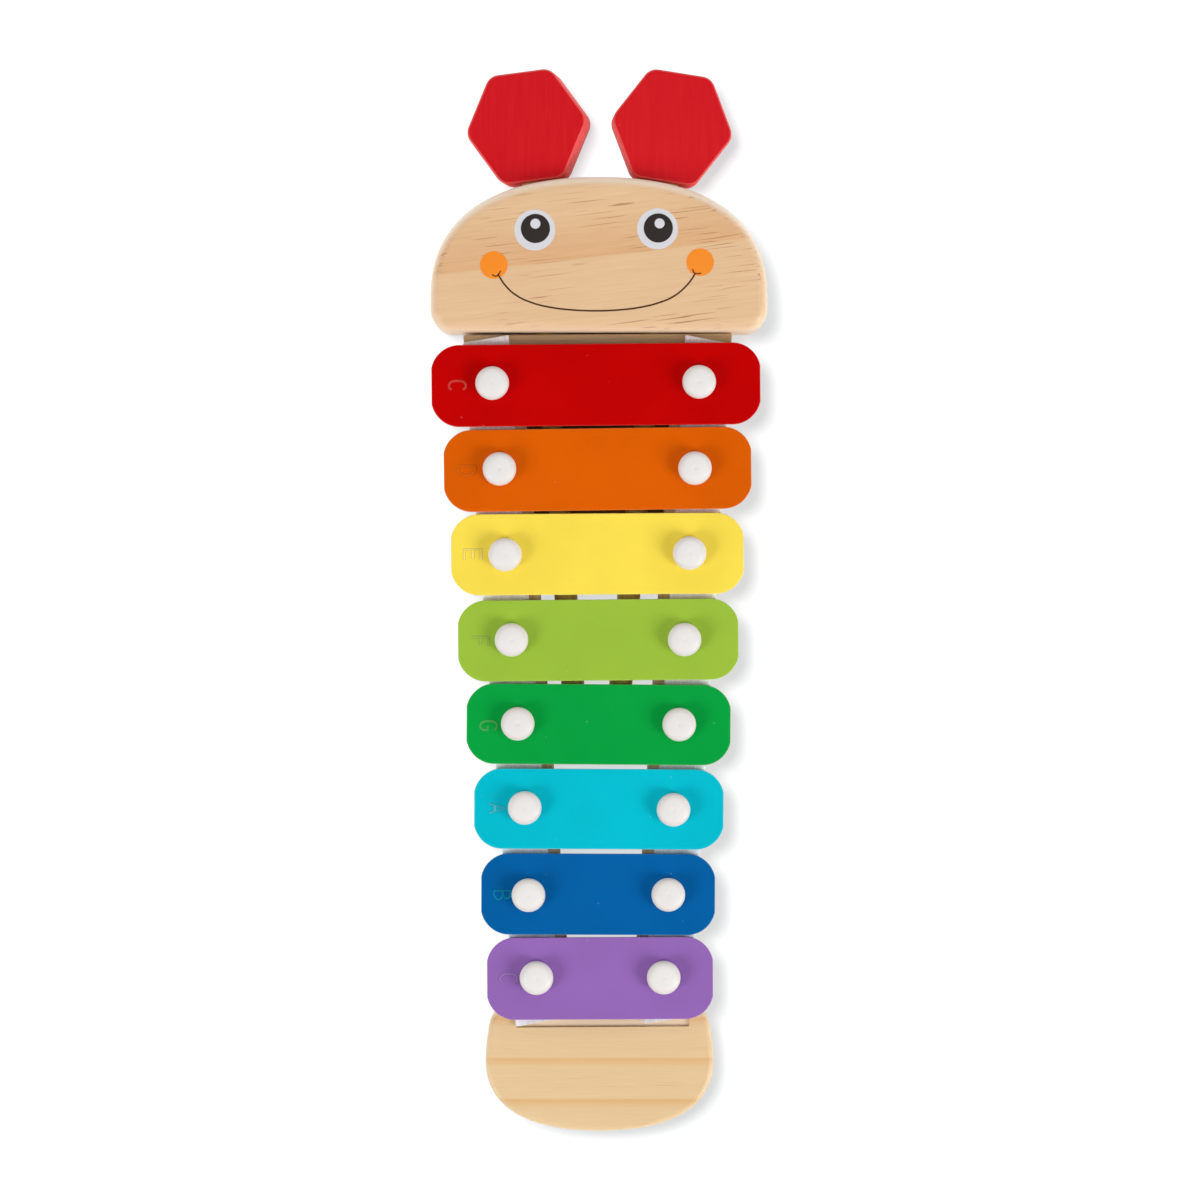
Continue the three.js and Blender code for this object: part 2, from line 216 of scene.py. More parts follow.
def smooth(piece: Object, degrees: float = 35.0) -> Object:
    """Shades a piece smooth except over edges sharper than an angle.

    Args:
        piece: The mesh to shade.
        degrees: The angle past which an edge stays crisp.

    Returns:
        The same piece.
    """
    take_up(piece)
    bpy.ops.object.shade_smooth_by_angle(angle=math.radians(degrees))
    return piece


def copy_of(piece: Object, name: str) -> Object:
    """Copies a piece with a mesh of its own.

    Args:
        piece: The modelled piece.
        name: The copy's name.

    Returns:
        The copy, at the same place.
    """
    twin = piece.copy()
    twin.data = piece.data.copy()
    twin.name = twin.data.name = name
    bpy.context.scene.collection.objects.link(twin)
    return twin


def join(pieces: Sequence[Object], name: str) -> Object:
    """Joins meshes into the first of them.

    Args:
        pieces: The meshes.
        name: The joined piece's name.

    Returns:
        The joined piece.
    """
    take_up(pieces[0])
    for piece in pieces[1:]:
        piece.select_set(True)
    bpy.ops.object.join()
    return fresh(name)


# Shapes


@dataclass
class Outline:
    """A closed flat outline, drawn knot by knot as Bezier curves."""

    points: list[Vector] = field(default_factory=list)
    leaving: list[Vector | None] = field(default_factory=list)
    reaching: list[Vector | None] = field(default_factory=list)

    def to(self, x: float, y: float) -> "Outline":
        """Starts at a point, or draws a straight edge to it.

        Args:
            x: Its place across.
            y: Its place along.

        Returns:
            This outline, so that calls can follow each other.
        """
        self.points.append(Vector((x, y)))
        self.leaving.append(None)
        self.reaching.append(None)
        return self

    def bend(self, corner: Point, end: Point, full: float) -> "Outline":
        """Draws a curve that leaves and arrives along the lines through a corner.

        Args:
            corner: Where the two tangents meet.
            end: Where the curve ends.
            full: The handles' share of the way to the corner.

        Returns:
            This outline.
        """
        last, tip, goal = self.points[-1], Vector(corner), Vector(end)
        self.leaving[-1] = last.lerp(tip, full)
        if (goal - self.points[0]).length < MERGE:
            self.reaching[0] = goal.lerp(tip, full)
            return self
        self.to(*goal)
        self.reaching[-1] = goal.lerp(tip, full)
        return self

    def write(self, curve: bpy.types.Curve, fineness: int) -> None:
        """Writes the outline into a curve as one closed spline.

        Args:
            curve: The curve data, whose splines are replaced.
            fineness: The steps along each bend.
        """
        curve.splines.clear()
        curve.dimensions = "2D"
        curve.fill_mode = "NONE"
        spline = curve.splines.new("BEZIER")
        spline.bezier_points.add(len(self.points) - 1)
        spline.use_cyclic_u = True
        curve.resolution_u = spline.resolution_u = fineness
        for knot, point, out, into in zip(
            spline.bezier_points, self.points, self.leaving, self.reaching, strict=True
        ):
            knot.co = point.to_3d()
            knot.handle_left_type = "VECTOR" if into is None else "FREE"
            knot.handle_right_type = "VECTOR" if out is None else "FREE"
            if into is not None:
                knot.handle_left = into.to_3d()
            if out is not None:
                knot.handle_right = out.to_3d()


def polygon(corners: Sequence[Point]) -> Outline:
    """An outline of straight edges.

    Args:
        corners: Its corners in turn.

    Returns:
        The outline.
    """
    outline = Outline()
    for corner in corners:
        outline.to(*corner)
    return outline


def board(name: str, outline: Outline, low: float, high: float, fineness: int = 1) -> Object:
    """Cuts a board of an outline out of flat stock.

    Args:
        name: The board's name.
        outline: Its outline, seen from above.
        low: The height of its underside.
        high: The height of its top.
        fineness: The steps along each bend of the outline.

    Returns:
        A closed mesh with sharp rims.
    """
    deselect_all()
    bpy.ops.curve.primitive_bezier_circle_add()
    stock = fresh(name)
    outline.write(stock.data, fineness)
    take_up(stock)
    bpy.ops.object.convert(target="MESH")
    piece = fresh(name)
    with editing(piece, Part.VERT):
        bpy.ops.mesh.select_all(action="SELECT")
        bpy.ops.mesh.remove_doubles(threshold=MERGE)
        bpy.ops.mesh.edge_face_add()
        bpy.ops.mesh.select_all(action="SELECT")
        bpy.ops.mesh.extrude_region_move(TRANSFORM_OT_translate={"value": (0, 0, high - low)})
        bpy.ops.mesh.select_all(action="SELECT")
        bpy.ops.mesh.normals_make_consistent(inside=False)
    return settle(piece, Matrix.Translation((0, 0, low)))


def ease_rims(piece: Object, width: float, steps: int, margin: float = 0.0003) -> None:
    """Rounds the sharp edges of a board, and rings its flat faces so that they shade flat.

    Args:
        piece: The board.
        width: How far the rounding reaches.
        steps: How many faces it has.
        margin: The width of the ring inside each rounded rim.
    """
    modify(piece, "BEVEL", width=width, segments=steps, limit_method="ANGLE",
           angle_limit=SHARP_EDGE)
    large = max(face.area for face in piece.data.polygons) / 3
    pick_faces(piece, lambda face: abs(face.normal.z) > LEVEL and face.area > large)
    with editing(piece):
        bpy.ops.mesh.inset(thickness=margin, depth=0)


def rod(name: str, radius: float, start: Vector, end: Vector, sides: int = 64) -> Object:
    """Adds a round bar between two points, to cut a hole with.

    Args:
        name: The bar's name.
        radius: Its radius.
        start: The middle of one end.
        end: The middle of the other.
        sides: How many sides it has.

    Returns:
        The bar.
    """
    deselect_all()
    along = end - start
    bpy.ops.mesh.primitive_cylinder_add(
        vertices=sides, radius=radius, depth=along.length, location=start.lerp(end, 0.5),
        rotation=along.to_track_quat("Z", "Y").to_euler(),
    )
    return fresh(name)


def carve(piece: Object, cutters: Sequence[Object]) -> None:
    """Cuts each of some closed shapes out of a piece and removes them.

    Args:
        piece: The piece to cut.
        cutters: The shapes to take away.
    """
    for cutter in cutters:
        modify(piece, "BOOLEAN", operation="DIFFERENCE", object=cutter, solver="EXACT")
        bpy.data.objects.remove(cutter)


def turned(name: str, profile: Sequence[Point], steps: int) -> Object:
    """Turns a profile round the Z axis, as on a lathe.

    Args:
        name: The piece's name.
        profile: Radius and height of each point, from axis to axis.
        steps: How many faces there are round the axis.

    Returns:
        A closed mesh.
    """
    deselect_all()
    bpy.ops.mesh.primitive_plane_add(size=0.001)
    piece = fresh(name)
    with editing(piece, Part.VERT):
        bpy.ops.mesh.select_all(action="SELECT")
        bpy.ops.mesh.merge(type="CENTER")
        bpy.ops.transform.translate(value=(profile[0][0], 0, profile[0][1]))
        for (r0, z0), (r1, z1) in zip(profile, profile[1:]):
            step = {"value": (r1 - r0, 0, z1 - z0)}
            bpy.ops.mesh.extrude_region_move(TRANSFORM_OT_translate=step)
        bpy.ops.mesh.select_all(action="SELECT")
        bpy.ops.mesh.spin(steps=steps, angle=math.tau, center=(0, 0, 0), axis=(0, 0, 1))
    tidy_mesh(piece)
    return piece


def lower_quarter(centre: Point, radius: float, steps: int) -> list[Point]:
    """Points of a lathe profile along a quarter circle, from its foot out to its side.

    Args:
        centre: The circle's centre, as radius and height.
        radius: The circle's radius.
        steps: How many pieces it is cut into.

    Returns:
        The points, first and last included.
    """
    angles = [math.radians(-90 + 90 * i / steps) for i in range(steps + 1)]
    return [(centre[0] + radius * math.cos(a), centre[1] + radius * math.sin(a)) for a in angles]


def drawn_line(name: str, knots: Sequence[tuple[float, float, Knot]], width: float,
               fineness: int) -> Object:
    """Draws a round line through some points.

    Args:
        name: The line's name.
        knots: Each point, with the way that the line passes it.
        width: How thick the line is.
        fineness: The steps from point to point.

    Returns:
        The line as a mesh, whose faces are still to be tidied.
    """
    deselect_all()
    bpy.ops.curve.primitive_bezier_curve_add()
    line = fresh(name)
    curve = line.data
    curve.splines.clear()
    curve.bevel_depth = width / 2
    curve.bevel_resolution = 3
    curve.use_fill_caps = True
    curve.resolution_u = fineness
    spline = curve.splines.new("BEZIER")
    spline.bezier_points.add(len(knots) - 1)
    for knot, (x, y, kind) in zip(spline.bezier_points, knots, strict=True):
        knot.co = (x, y, 0)
        knot.handle_left_type = knot.handle_right_type = kind.value
    take_up(line)
    bpy.ops.object.convert(target="MESH")
    return fresh(name)


# Shader trees


@dataclass
class Nodes:
    """Writes nodes and links into one node tree."""

    tree: Tree

    def add(self, kind: str, **settings: Any) -> Node:
        """Adds a shader node.

        Args:
            kind: The node's type without its ShaderNode prefix.
            settings: Properties to set on it.

        Returns:
            The node.
        """
        node = self.tree.nodes.new(f"ShaderNode{kind}")
        for key, value in settings.items():
            setattr(node, key, value)
        return node

    def feed(self, socket: Socket, value: Any) -> None:
        """Links a socket to an output, or gives it a value.

        Args:
            socket: The input.
            value: An output socket, a number, a vector or a colour.
        """
        if isinstance(value, Socket):
            self.tree.links.new(value, socket)
        elif socket.type == "RGBA" and len(value) == 3:
            socket.default_value = (*value, 1.0)
        else:
            socket.default_value = value

    def fill(self, node: Node, **values: Any) -> Node:
        """Feeds a node's inputs by name.

        Args:
            node: The node.
            values: What each input gets, with underscores for the spaces in its name.

        Returns:
            The node.
        """
        for key, value in values.items():
            self.feed(node.inputs[key.replace("_", " ")], value)
        return node

    def through(self, kind: str, *values: Any, **settings: Any) -> Socket:
        """Adds a node and feeds its first inputs in order.

        Args:
            kind: The node's type without its ShaderNode prefix.
            values: What the inputs get.
            settings: Properties to set on it.

        Returns:
            Its first output.
        """
        node = self.add(kind, **settings)
        for socket, value in zip(node.inputs, values):
            self.feed(socket, value)
        return node.outputs[0]

    def math(self, operation: str, *numbers: Any, clamp: bool = False) -> Socket:
        """A sum of numbers or outputs, if wished kept from 0 to 1."""
        return self.through("Math", *numbers, operation=operation, use_clamp=clamp)

    def plus(self, first: Any, second: Any) -> Socket:
        """Two numbers added."""
        return self.math("ADD", first, second)

    def minus(self, first: Any, second: Any, clamp: bool = False) -> Socket:
        """One number less another."""
        return self.math("SUBTRACT", first, second, clamp=clamp)

    def times(self, first: Any, second: Any, clamp: bool = False) -> Socket:
        """Two numbers multiplied."""
        return self.math("MULTIPLY", first, second, clamp=clamp)

    def over(self, first: Any, second: Any, clamp: bool = False) -> Socket:
        """One number divided by another."""
        return self.math("DIVIDE", first, second, clamp=clamp)

    def length(self, vector: Socket) -> Socket:
        """The length of a vector."""
        return self.through("VectorMath", vector, operation="LENGTH").node.outputs["Value"]

    def mix(self, share: Any, first: Any, second: Any, blend: str = "MIX") -> Socket:
        """A mix of two colours.

        Args:
            share: How much of the second shows.
            first: The first colour.
            second: The second.
            blend: Blender's name for the way they mix.

        Returns:
            The mixed colour.
        """
        node = self.add("Mix", data_type="RGBA", blend_type=blend)
        for place, value in ((0, share), (6, first), (7, second)):
            self.feed(node.inputs[place], value)
        return node.outputs[2]

    def ramp(self, value: Socket, low: float, high: float, to_low: float = 0.0,
             to_high: float = 1.0) -> Socket:
        """Maps a number smoothly from one range to another.

        Args:
            value: The number.
            low: Where the first range starts.
            high: Where it ends.
            to_low: What the start becomes.
            to_high: What the end becomes.

        Returns:
            The mapped number, which stays in the second range.
        """
        node = self.add("MapRange", interpolation_type="SMOOTHSTEP")
        return self.fill(node, Value=value, From_Min=low, From_Max=high, To_Min=to_low,
                         To_Max=to_high).outputs[0]

    def noise(self, where: Socket, scale: Any, detail: float = 2.0, roughness: float = 0.5,
              squeeze: Triple | None = None) -> Socket:
        """Soft noise, around 0.5.

        Args:
            where: The vector that it is read at.
            scale: Its features per metre.
            detail: How many finer layers it has.
            roughness: How strong those are.
            squeeze: Factors on the vector; a small one draws the noise out that way.

        Returns:
            The noise.
        """
        if squeeze:
            where = self.through("VectorMath", where, squeeze, operation="MULTIPLY")
        return self.fill(self.add("TexNoise"), Vector=where, Scale=scale, Detail=detail,
                         Roughness=roughness).outputs[0]

    def split(self, vector: Socket) -> tuple[Socket, Socket, Socket]:
        """The three coordinates of a vector."""
        return tuple(self.through("SeparateXYZ", vector).node.outputs)

    def group(self, group: Tree, **values: Any) -> Sockets:
        """Places a shared group, feeds its inputs and gives its outputs."""
        return self.fill(self.add("Group", node_tree=group), **values).outputs


GRAIN_SETTINGS = ("Early", "Late", "Fleck", "Ring_Width", "Ring_Share", "Ring_Edge", "Wander",
                  "Fibre", "Fleck_Amount")
SOCKET_KINDS = {"Vector": "Vector", "Normal": "Vector", "Early": "Color", "Late": "Color",
                "Fleck": "Color", "Color": "Color"}  # all others are numbers


def shared_group(name: str, inputs: Sequence[str],
                 outputs: Sequence[str]) -> tuple[Nodes, Sockets, Node]:
    """Starts a shader group with named sockets.

    Args:
        name: The group's name.
        inputs: Its inputs, with underscores for spaces.
        outputs: Its outputs.

    Returns:
        The writer for the group's tree, what the inputs give, and the output node.
    """
    tree = bpy.data.node_groups.new(name, "ShaderNodeTree")
    for labels, way in ((inputs, "INPUT"), (outputs, "OUTPUT")):
        for label in labels:
            kind = f"NodeSocket{SOCKET_KINDS.get(label, 'Float')}"
            tree.interface.new_socket(name=label.replace("_", " "), in_out=way, socket_type=kind)
    given = tree.nodes.new("NodeGroupInput").outputs
    return Nodes(tree), given, tree.nodes.new("NodeGroupOutput")


def wood_grain() -> Tree:
    """The rings, fibres and resin flecks of pine that is sawn along X.

    Returns:
        A group that gives colour and height.
    """
    nodes, given, made = shared_group("Wood Grain", ("Vector", *GRAIN_SETTINGS),
                                      ("Color", "Height"))
    where = given["Vector"]

    def grain(along: float, scale: float, detail: float, roughness: float = 0.5) -> Socket:
        """Noise that is drawn out along the grain."""
        return nodes.noise(where, scale, detail, roughness, (along, 1, 1))

    across = nodes.through("VectorMath", where, (0, 1, 1), operation="MULTIPLY")
    wander = nodes.times(nodes.minus(grain(0.12, 45, 2), 0.5), given["Wander"])
    ring = nodes.plus(nodes.length(across), wander)
    phase = nodes.math("FRACT", nodes.over(ring, given["Ring Width"]))
    fading = nodes.minus(1.0, nodes.over(phase, given["Ring Share"]), clamp=True)
    onset = nodes.over(nodes.times(phase, given["Ring Width"]), given["Ring Edge"], clamp=True)
    late = nodes.times(nodes.math("POWER", fading, 1.4), onset)
    fibres = grain(0.035, 1500, 3, 0.7)
    grey = nodes.plus(nodes.times(grain(0.03, 420, 3, 0.7), 0.35), nodes.times(fibres, 0.45))
    grey = nodes.plus(grey, nodes.times(grain(0.4, 60, 2), 0.2))
    swing = nodes.times(nodes.minus(grey, 0.5), given["Fibre"])
    shade = nodes.through("VectorMath", swing, (0.6, 1.0, 1.3), (1, 1, 1),
                          operation="MULTIPLY_ADD")
    toned = nodes.mix(1.0, nodes.mix(late, given["Early"], given["Late"]), shade, "MULTIPLY")
    dashes = nodes.ramp(grain(0.03, 1900, 0), 0.66, 0.75)
    gather = nodes.ramp(grain(0.5, 55, 1), 0.46, 0.62)
    fleck = nodes.times(nodes.times(dashes, gather), given["Fleck Amount"], clamp=True)
    nodes.fill(made, Color=nodes.mix(fleck, toned, given["Fleck"]),
               Height=nodes.minus(fibres, nodes.times(fleck, 0.6)))
    return nodes.tree


def rim_masks_from_normal() -> Tree:
    """Where a piece is rounded over or upright, read from its own normal.

    Returns:
        A group that gives masks for the rounded rim, for the upright walls, and for
        both together with a soft inner edge.
    """
    # The finishes use these masks for paler and darker rims and walls, partly real wear and partly
    # painted highlight and painted shade.
    nodes, given, made = shared_group("Rubbed Rim", ("Normal",), ("Rim", "Wall", "Soft"))
    steep = nodes.math("ABSOLUTE", nodes.split(given["Normal"])[2])
    wall = nodes.ramp(steep, 0.15, 0.45, 1.0, 0.0)
    flat = nodes.ramp(steep, 0.86, 0.985)
    rim = nodes.minus(nodes.minus(1.0, flat), wall, clamp=True)
    nodes.fill(made, Rim=rim, Wall=wall, Soft=nodes.ramp(steep, 0.45, 0.998, 1.0, 0.0))
    return nodes.tree


def handling() -> Tree:
    """The slight unevenness of anything sprayed, moulded or handled.

    Returns:
        A group that gives soft clouds, fine grit and sparse specks.
    """
    nodes, given, made = shared_group("Handling", ("Vector", "Grit_Scale", "Speck_Scale"),
                                      ("Clouds", "Grit", "Specks"))
    where = given["Vector"]
    cells = nodes.fill(nodes.add("TexVoronoi"), Vector=where, Scale=given["Speck Scale"]).outputs
    near = nodes.ramp(cells["Distance"], 0.03, 0.09, 1.0, 0.0)
    rare = nodes.ramp(nodes.through("SeparateColor", cells["Color"]), 0.80, 0.84)
    nodes.fill(made, Clouds=nodes.noise(where, 34), Grit=nodes.noise(where, given["Grit Scale"]),
               Specks=nodes.times(near, rare))
    return nodes.tree


@dataclass
class Shared:
    """The effects that more than one finish uses, each built once, and what is painted."""

    grain: Tree = field(default_factory=wood_grain)
    rim: Tree = field(default_factory=rim_masks_from_normal)
    handling: Tree = field(default_factory=handling)
    painted: dict[str, bpy.types.Material] = field(default_factory=dict)


@dataclass
class Paintwork(Nodes):
    """A material while it is painted: its tree, shader, coordinates and shared effects."""

    shader: Node
    places: Sockets
    shared: Shared

    def marks(self, grit: float, speck: float) -> Sockets:
        """The marks of handling, with so many grains and specks per metre."""
        return self.group(self.shared.handling, Vector=self.places["Object"], Grit_Scale=grit,
                          Speck_Scale=speck)

    def rims(self) -> Sockets:
        """The masks of rounded rims and walls."""
        return self.group(self.shared.rim, Normal=self.places["Normal"])

    def bump(self, height: Socket, strength: float, depth: float) -> Socket:
        """A normal for the shader.

        Args:
            height: The surface's height.
            strength: How strongly it shows.
            depth: How deep it is, in metres.

        Returns:
            The normal.
        """
        node = self.add("Bump")
        return self.fill(node, Strength=strength, Distance=depth, Height=height).outputs[0]


# Finishes


@dataclass(frozen=True)
class Finish:
    """What every finish has: its material's name and the record's slot."""

    name: str
    slot: str

    def material(self, shared: Shared) -> bpy.types.Material:
        """The material of this finish, painted the first time that it is asked for.

        Args:
            shared: The shared effects, which keep the material.

        Returns:
            The material.
        """
        if self.name not in shared.painted:
            material = shared.painted[self.name] = bpy.data.materials.new(self.name)
            material.use_nodes = True
            tree = material.node_tree
            places = tree.nodes.new("ShaderNodeTexCoord").outputs
            self.paint(Paintwork(tree, tree.nodes["Principled BSDF"], places, shared))
        return shared.painted[self.name]

    def paint(self, work: Paintwork) -> None:
        """Writes the material's nodes, each kind of finish in its own way."""
        raise NotImplementedError


@dataclass(frozen=True)
class Pine(Finish):
    """Sanded pine, bare or under a satin lacquer."""

    early: Colour
    late: Colour
    fleck: Colour
    # the rounded rim's colour, partly paler sanded wood and partly painted highlight
    rim: Colour
    ring_width: float = 0.007
    ring_share: float = 0.5
    ring_edge: float = 0.0006
    wander: float = 0.004
    fibre: float = 0.4
    fleck_amount: float = 0.5
    turn: float = 0.0  # degrees from +X to the grain
    pith: Point = (0.03, -0.02)  # across the grain and up, to the tree's middle
    roughness: float = 0.62
    lacquer: float = 0.0
    rim_share: float = 0.5
    # a painted highlight on the rim's far side, where light from beyond the head would fall
    far_rim_highlight: Colour = (1.0, 0.89, 0.75)
    far_rim_highlight_share: float = 0.0  # how much of that painted highlight the rim has at its far side

    def paint(self, work: Paintwork) -> None:
        """Rings and fibres along the grain, a paler rim that is partly paler wood and partly
        painted highlight, and more painted highlight at the rim's far side.

        Args:
            work: The material to paint.
        """
        lie = work.fill(work.add("Mapping", vector_type="POINT"), Vector=work.places["Object"],
                        Rotation=(0, 0, math.radians(-self.turn)), Location=(0, *self.pith))
        settings = {key: getattr(self, key.lower()) for key in GRAIN_SETTINGS}
        grain = work.group(work.shared.grain, Vector=lie.outputs[0], **settings)
        # Paler rim: partly paler wood, partly painted highlight.
        pale = work.times(work.rims()["Soft"], self.rim_share)
        wood = work.mix(pale, grain["Color"], self.rim)
        # Painted highlight on the rim's far side.
        if self.far_rim_highlight_share:
            _, ahead, up = work.split(work.places["Normal"])
            far = work.ramp(ahead, 0.05, 0.75, 0.0, self.far_rim_highlight_share)
            wood = work.mix(work.times(far, work.ramp(up, 0.05, 0.45)), wood, self.far_rim_highlight)
        work.fill(
            work.shader, Base_Color=wood,
            Roughness=work.ramp(grain["Height"], 0.2, 0.8, self.roughness + 0.08,
                                self.roughness - 0.06),
            Coat_Weight=self.lacquer, Coat_Roughness=0.3,
            Normal=work.bump(grain["Height"], strength=0.35, depth=0.0002),
        )


@dataclass(frozen=True)
class Enamel(Finish):
    """Gloss enamel sprayed on steel, with a fine speck here and there."""

    colour: Colour
    speck: Colour
    # a bar's paler rounded rim, a painted highlight; on a stamped letter, its darker slopes,
    # painted shade
    rim: Colour
    # the paler top of a stamped letter, a painted highlight
    crest_highlight: Colour
    rim_share: float = 0.55
    slope_shade: float = 0.45  # how much of the paint shows on a letter's slopes, darkened as painted shade

    def stamped(self) -> "Enamel":
        """The same enamel on a stamped letter.

        Returns:
            The finish, with a painted highlight on top and painted shade on its slopes.
        """
        # The letter's slopes are darkened as painted shade.
        slope = tuple(channel * self.slope_shade for channel in self.colour)
        return Enamel(f"{self.name}_stamped", self.slot, self.crest_highlight, self.speck, slope,
                      self.crest_highlight, rim_share=0.9)

    def paint(self, work: Paintwork) -> None:
        """An even colour with faint clouds, specks and a rim of another colour: a painted highlight
        on a bar, painted shade on a letter's slopes.

        Args:
            work: The material to paint.
        """
        marks = work.marks(grit=1500.0, speck=260.0)
        cloud = work.ramp(marks["Clouds"], 0.3, 0.7, 0.965, 1.035)
        body = work.mix(1.0, self.colour, cloud, "MULTIPLY")
        specked = work.mix(work.times(marks["Specks"], 0.35), body, self.speck)
        height = work.plus(marks["Grit"], work.times(marks["Specks"], 0.8))
        # The rim colour is painted light: a highlight on a bar's edge, shade on a letter's slopes.
        work.fill(
            work.shader,
            Base_Color=work.mix(work.times(work.rims()["Rim"], self.rim_share), specked, self.rim),
            Roughness=work.ramp(marks["Clouds"], 0.3, 0.7, 0.30, 0.36),
            Specular_IOR_Level=0.08, Coat_Weight=0.25, Coat_Roughness=0.05,
            Normal=work.bump(height, strength=0.12, depth=0.00008),
        )


@dataclass(frozen=True)
class Lacquer(Finish):
    """Red lacquer on the mallets' wood, thin and fuzzy on its sawn walls, whose pink is partly
    painted light, and with a painted highlight along its rims.
    """

    colour: Colour
    # pink of the sawn walls, partly thin lacquer over end grain and partly painted light
    wall: Colour
    # the paler rim line, a painted highlight
    rim: Colour
    glow: Colour

    def paint(self, work: Paintwork) -> None:
        """A deep face, a paler rim line that is a painted highlight, and pink walls with the sawn
        grain showing, their pink partly painted light.

        Args:
            work: The material to paint.
        """
        where, rim = work.places["Object"], work.rims()
        marks = work.marks(grit=1300.0, speck=120.0)
        brushed = work.noise(where, 900, 2, squeeze=(1, 0.05, 1))
        face = work.mix(work.ramp(brushed, 0.35, 0.75), self.colour, self.glow)
        face = work.mix(work.times(marks["Specks"], 0.5), face, self.wall)
        upright = work.noise(where, 1500, 2, squeeze=(1, 1, 0.06))
        level = work.noise(where, 900, 1, squeeze=(0.08, 0.08, 1))
        weave = work.ramp(work.plus(work.times(upright, 0.85), work.times(level, 0.15)),
                          0.34, 0.66)
        # The walls' pink is partly thin lacquer over end grain and partly painted light; the paler
        # rim line is a painted highlight.
        sawn = work.mix(work.plus(work.times(weave, 0.4), 0.4), self.colour, self.wall)
        lined = work.mix(work.times(rim["Rim"], 0.7), face, self.rim)
        height = work.plus(work.times(brushed, 0.5), work.times(weave, rim["Wall"]))
        work.fill(
            work.shader,
            Base_Color=work.mix(rim["Wall"], lined, sawn),
            Roughness=work.ramp(rim["Wall"], 0, 1, 0.32, 0.6),
            Specular_IOR_Level=0.15,
            Coat_Weight=work.ramp(rim["Wall"], 0, 1, 0.05, 0.0), Coat_Roughness=0.2,
            Normal=work.bump(height, strength=0.25, depth=0.00015),
        )


@dataclass(frozen=True)
class Moulded(Finish):
    """White plastic as it comes out of the mould."""

    colour: Colour
    # a darker warm white: random in clouds, and painted shade towards the rim
    rim: Colour

    def paint(self, work: Paintwork) -> None:
        """A warm white, duller in random clouds and darker towards the rim as painted shade.

        Args:
            work: The material to paint.
        """
        marks = work.marks(grit=2600.0, speck=500.0)
        dull = work.ramp(marks["Clouds"], 0.3, 0.7, 0.0, 0.25)
        body = work.mix(dull, self.colour, self.rim)
        # Darker towards the rounded rim: painted shade.
        work.fill(
            work.shader,
            Base_Color=work.mix(work.times(work.rims()["Rim"], 0.7), body, self.rim),
            Roughness=work.ramp(marks["Grit"], 0.3, 0.7, 0.38, 0.5),
            Normal=work.bump(marks["Grit"], strength=0.12, depth=0.00006),
        )


@dataclass(frozen=True)
class Felt(Finish):
    """Pressed wool felt."""

    colour: Colour
    shade: Colour
    # paler felt towards the strip's outer edge, a painted highlight
    edge: Colour

    def paint(self, work: Paintwork) -> None:
        """Short tangled fibres, darker in their hollows and paler towards the strip's outer edge,
        that paleness a painted highlight.

        Args:
            work: The material to paint.
        """
        where = work.places["Object"]
        tangle = work.noise(where, 2200, 4, 0.7)
        combed = work.noise(where, 1100, 3, 0.6, (1, 0.25, 1))
        depth = work.plus(work.times(tangle, 0.5), work.times(combed, 0.5))
        grit = work.marks(grit=3600.0, speck=700.0)["Grit"]
        body = work.mix(work.ramp(depth, 0.35, 0.65), self.shade, self.colour)
        across = work.split(work.places["UV"])[0]
        # Paler towards the outer edge: a painted highlight.
        work.fill(
            work.shader,
            Base_Color=work.mix(work.ramp(across, 0.7, 1.0), body, self.edge),
            Roughness=0.95, Sheen_Weight=0.25, Sheen_Roughness=0.5,
            Normal=work.bump(work.plus(depth, work.times(grit, 0.2)), strength=0.8, depth=0.0004),
        )


@dataclass(frozen=True)
class Ink(Finish):
    """Pad-printed ink on the face."""

    colour: Colour
    thin: Colour

    def paint(self, work: Paintwork) -> None:
        """An even print with the faintest mottle.

        Args:
            work: The material to paint.
        """
        marks = work.marks(grit=3000.0, speck=900.0)
        mottle = work.times(work.ramp(marks["Grit"], 0.35, 0.7), 0.35)
        work.fill(work.shader, Base_Color=work.mix(mottle, self.colour, self.thin),
                  Roughness=work.ramp(marks["Clouds"], 0.3, 0.7, 0.45, 0.55))


HEAD_PINE = Pine(
    "lacquered_pine_head", "pine_block",
    early=(0.800, 0.530, 0.305), late=(0.745, 0.425, 0.212), fleck=(0.44, 0.19, 0.08),
    rim=(0.89, 0.72, 0.52), ring_width=0.060, ring_share=0.40, ring_edge=0.0010, fibre=0.60,
    fleck_amount=0.85, turn=6.8, pith=(0.8351, 0.0), roughness=0.46, lacquer=0.15,
    rim_share=0.70, far_rim_highlight_share=0.7,
)
TAIL_PINE = Pine(
    "lacquered_pine_tail", "pine_block",
    early=(0.800, 0.570, 0.315), late=(0.745, 0.425, 0.160), fleck=(0.62, 0.36, 0.16),
    rim=(0.83, 0.67, 0.45), ring_width=0.0151, ring_share=0.30, ring_edge=0.0010, wander=0.0018,
    fibre=0.32, fleck_amount=0.25, pith=(-0.99495, 0.0), roughness=0.46, lacquer=0.15,
    rim_share=0.4,
)
FRAME_PINE = Pine(
    "bare_pine_frame", "pine_frame", early=(0.690, 0.475, 0.275), late=(0.56, 0.33, 0.15),
    fleck=(0.40, 0.20, 0.08), rim=(0.74, 0.54, 0.34), ring_width=0.006, turn=90.0,
)
CROSS_PINE = Pine(
    "bare_pine_cross_members", "pine_frame", early=(0.80, 0.62, 0.43), late=(0.70, 0.50, 0.30),
    fleck=(0.50, 0.30, 0.15), rim=(0.84, 0.68, 0.50),
)
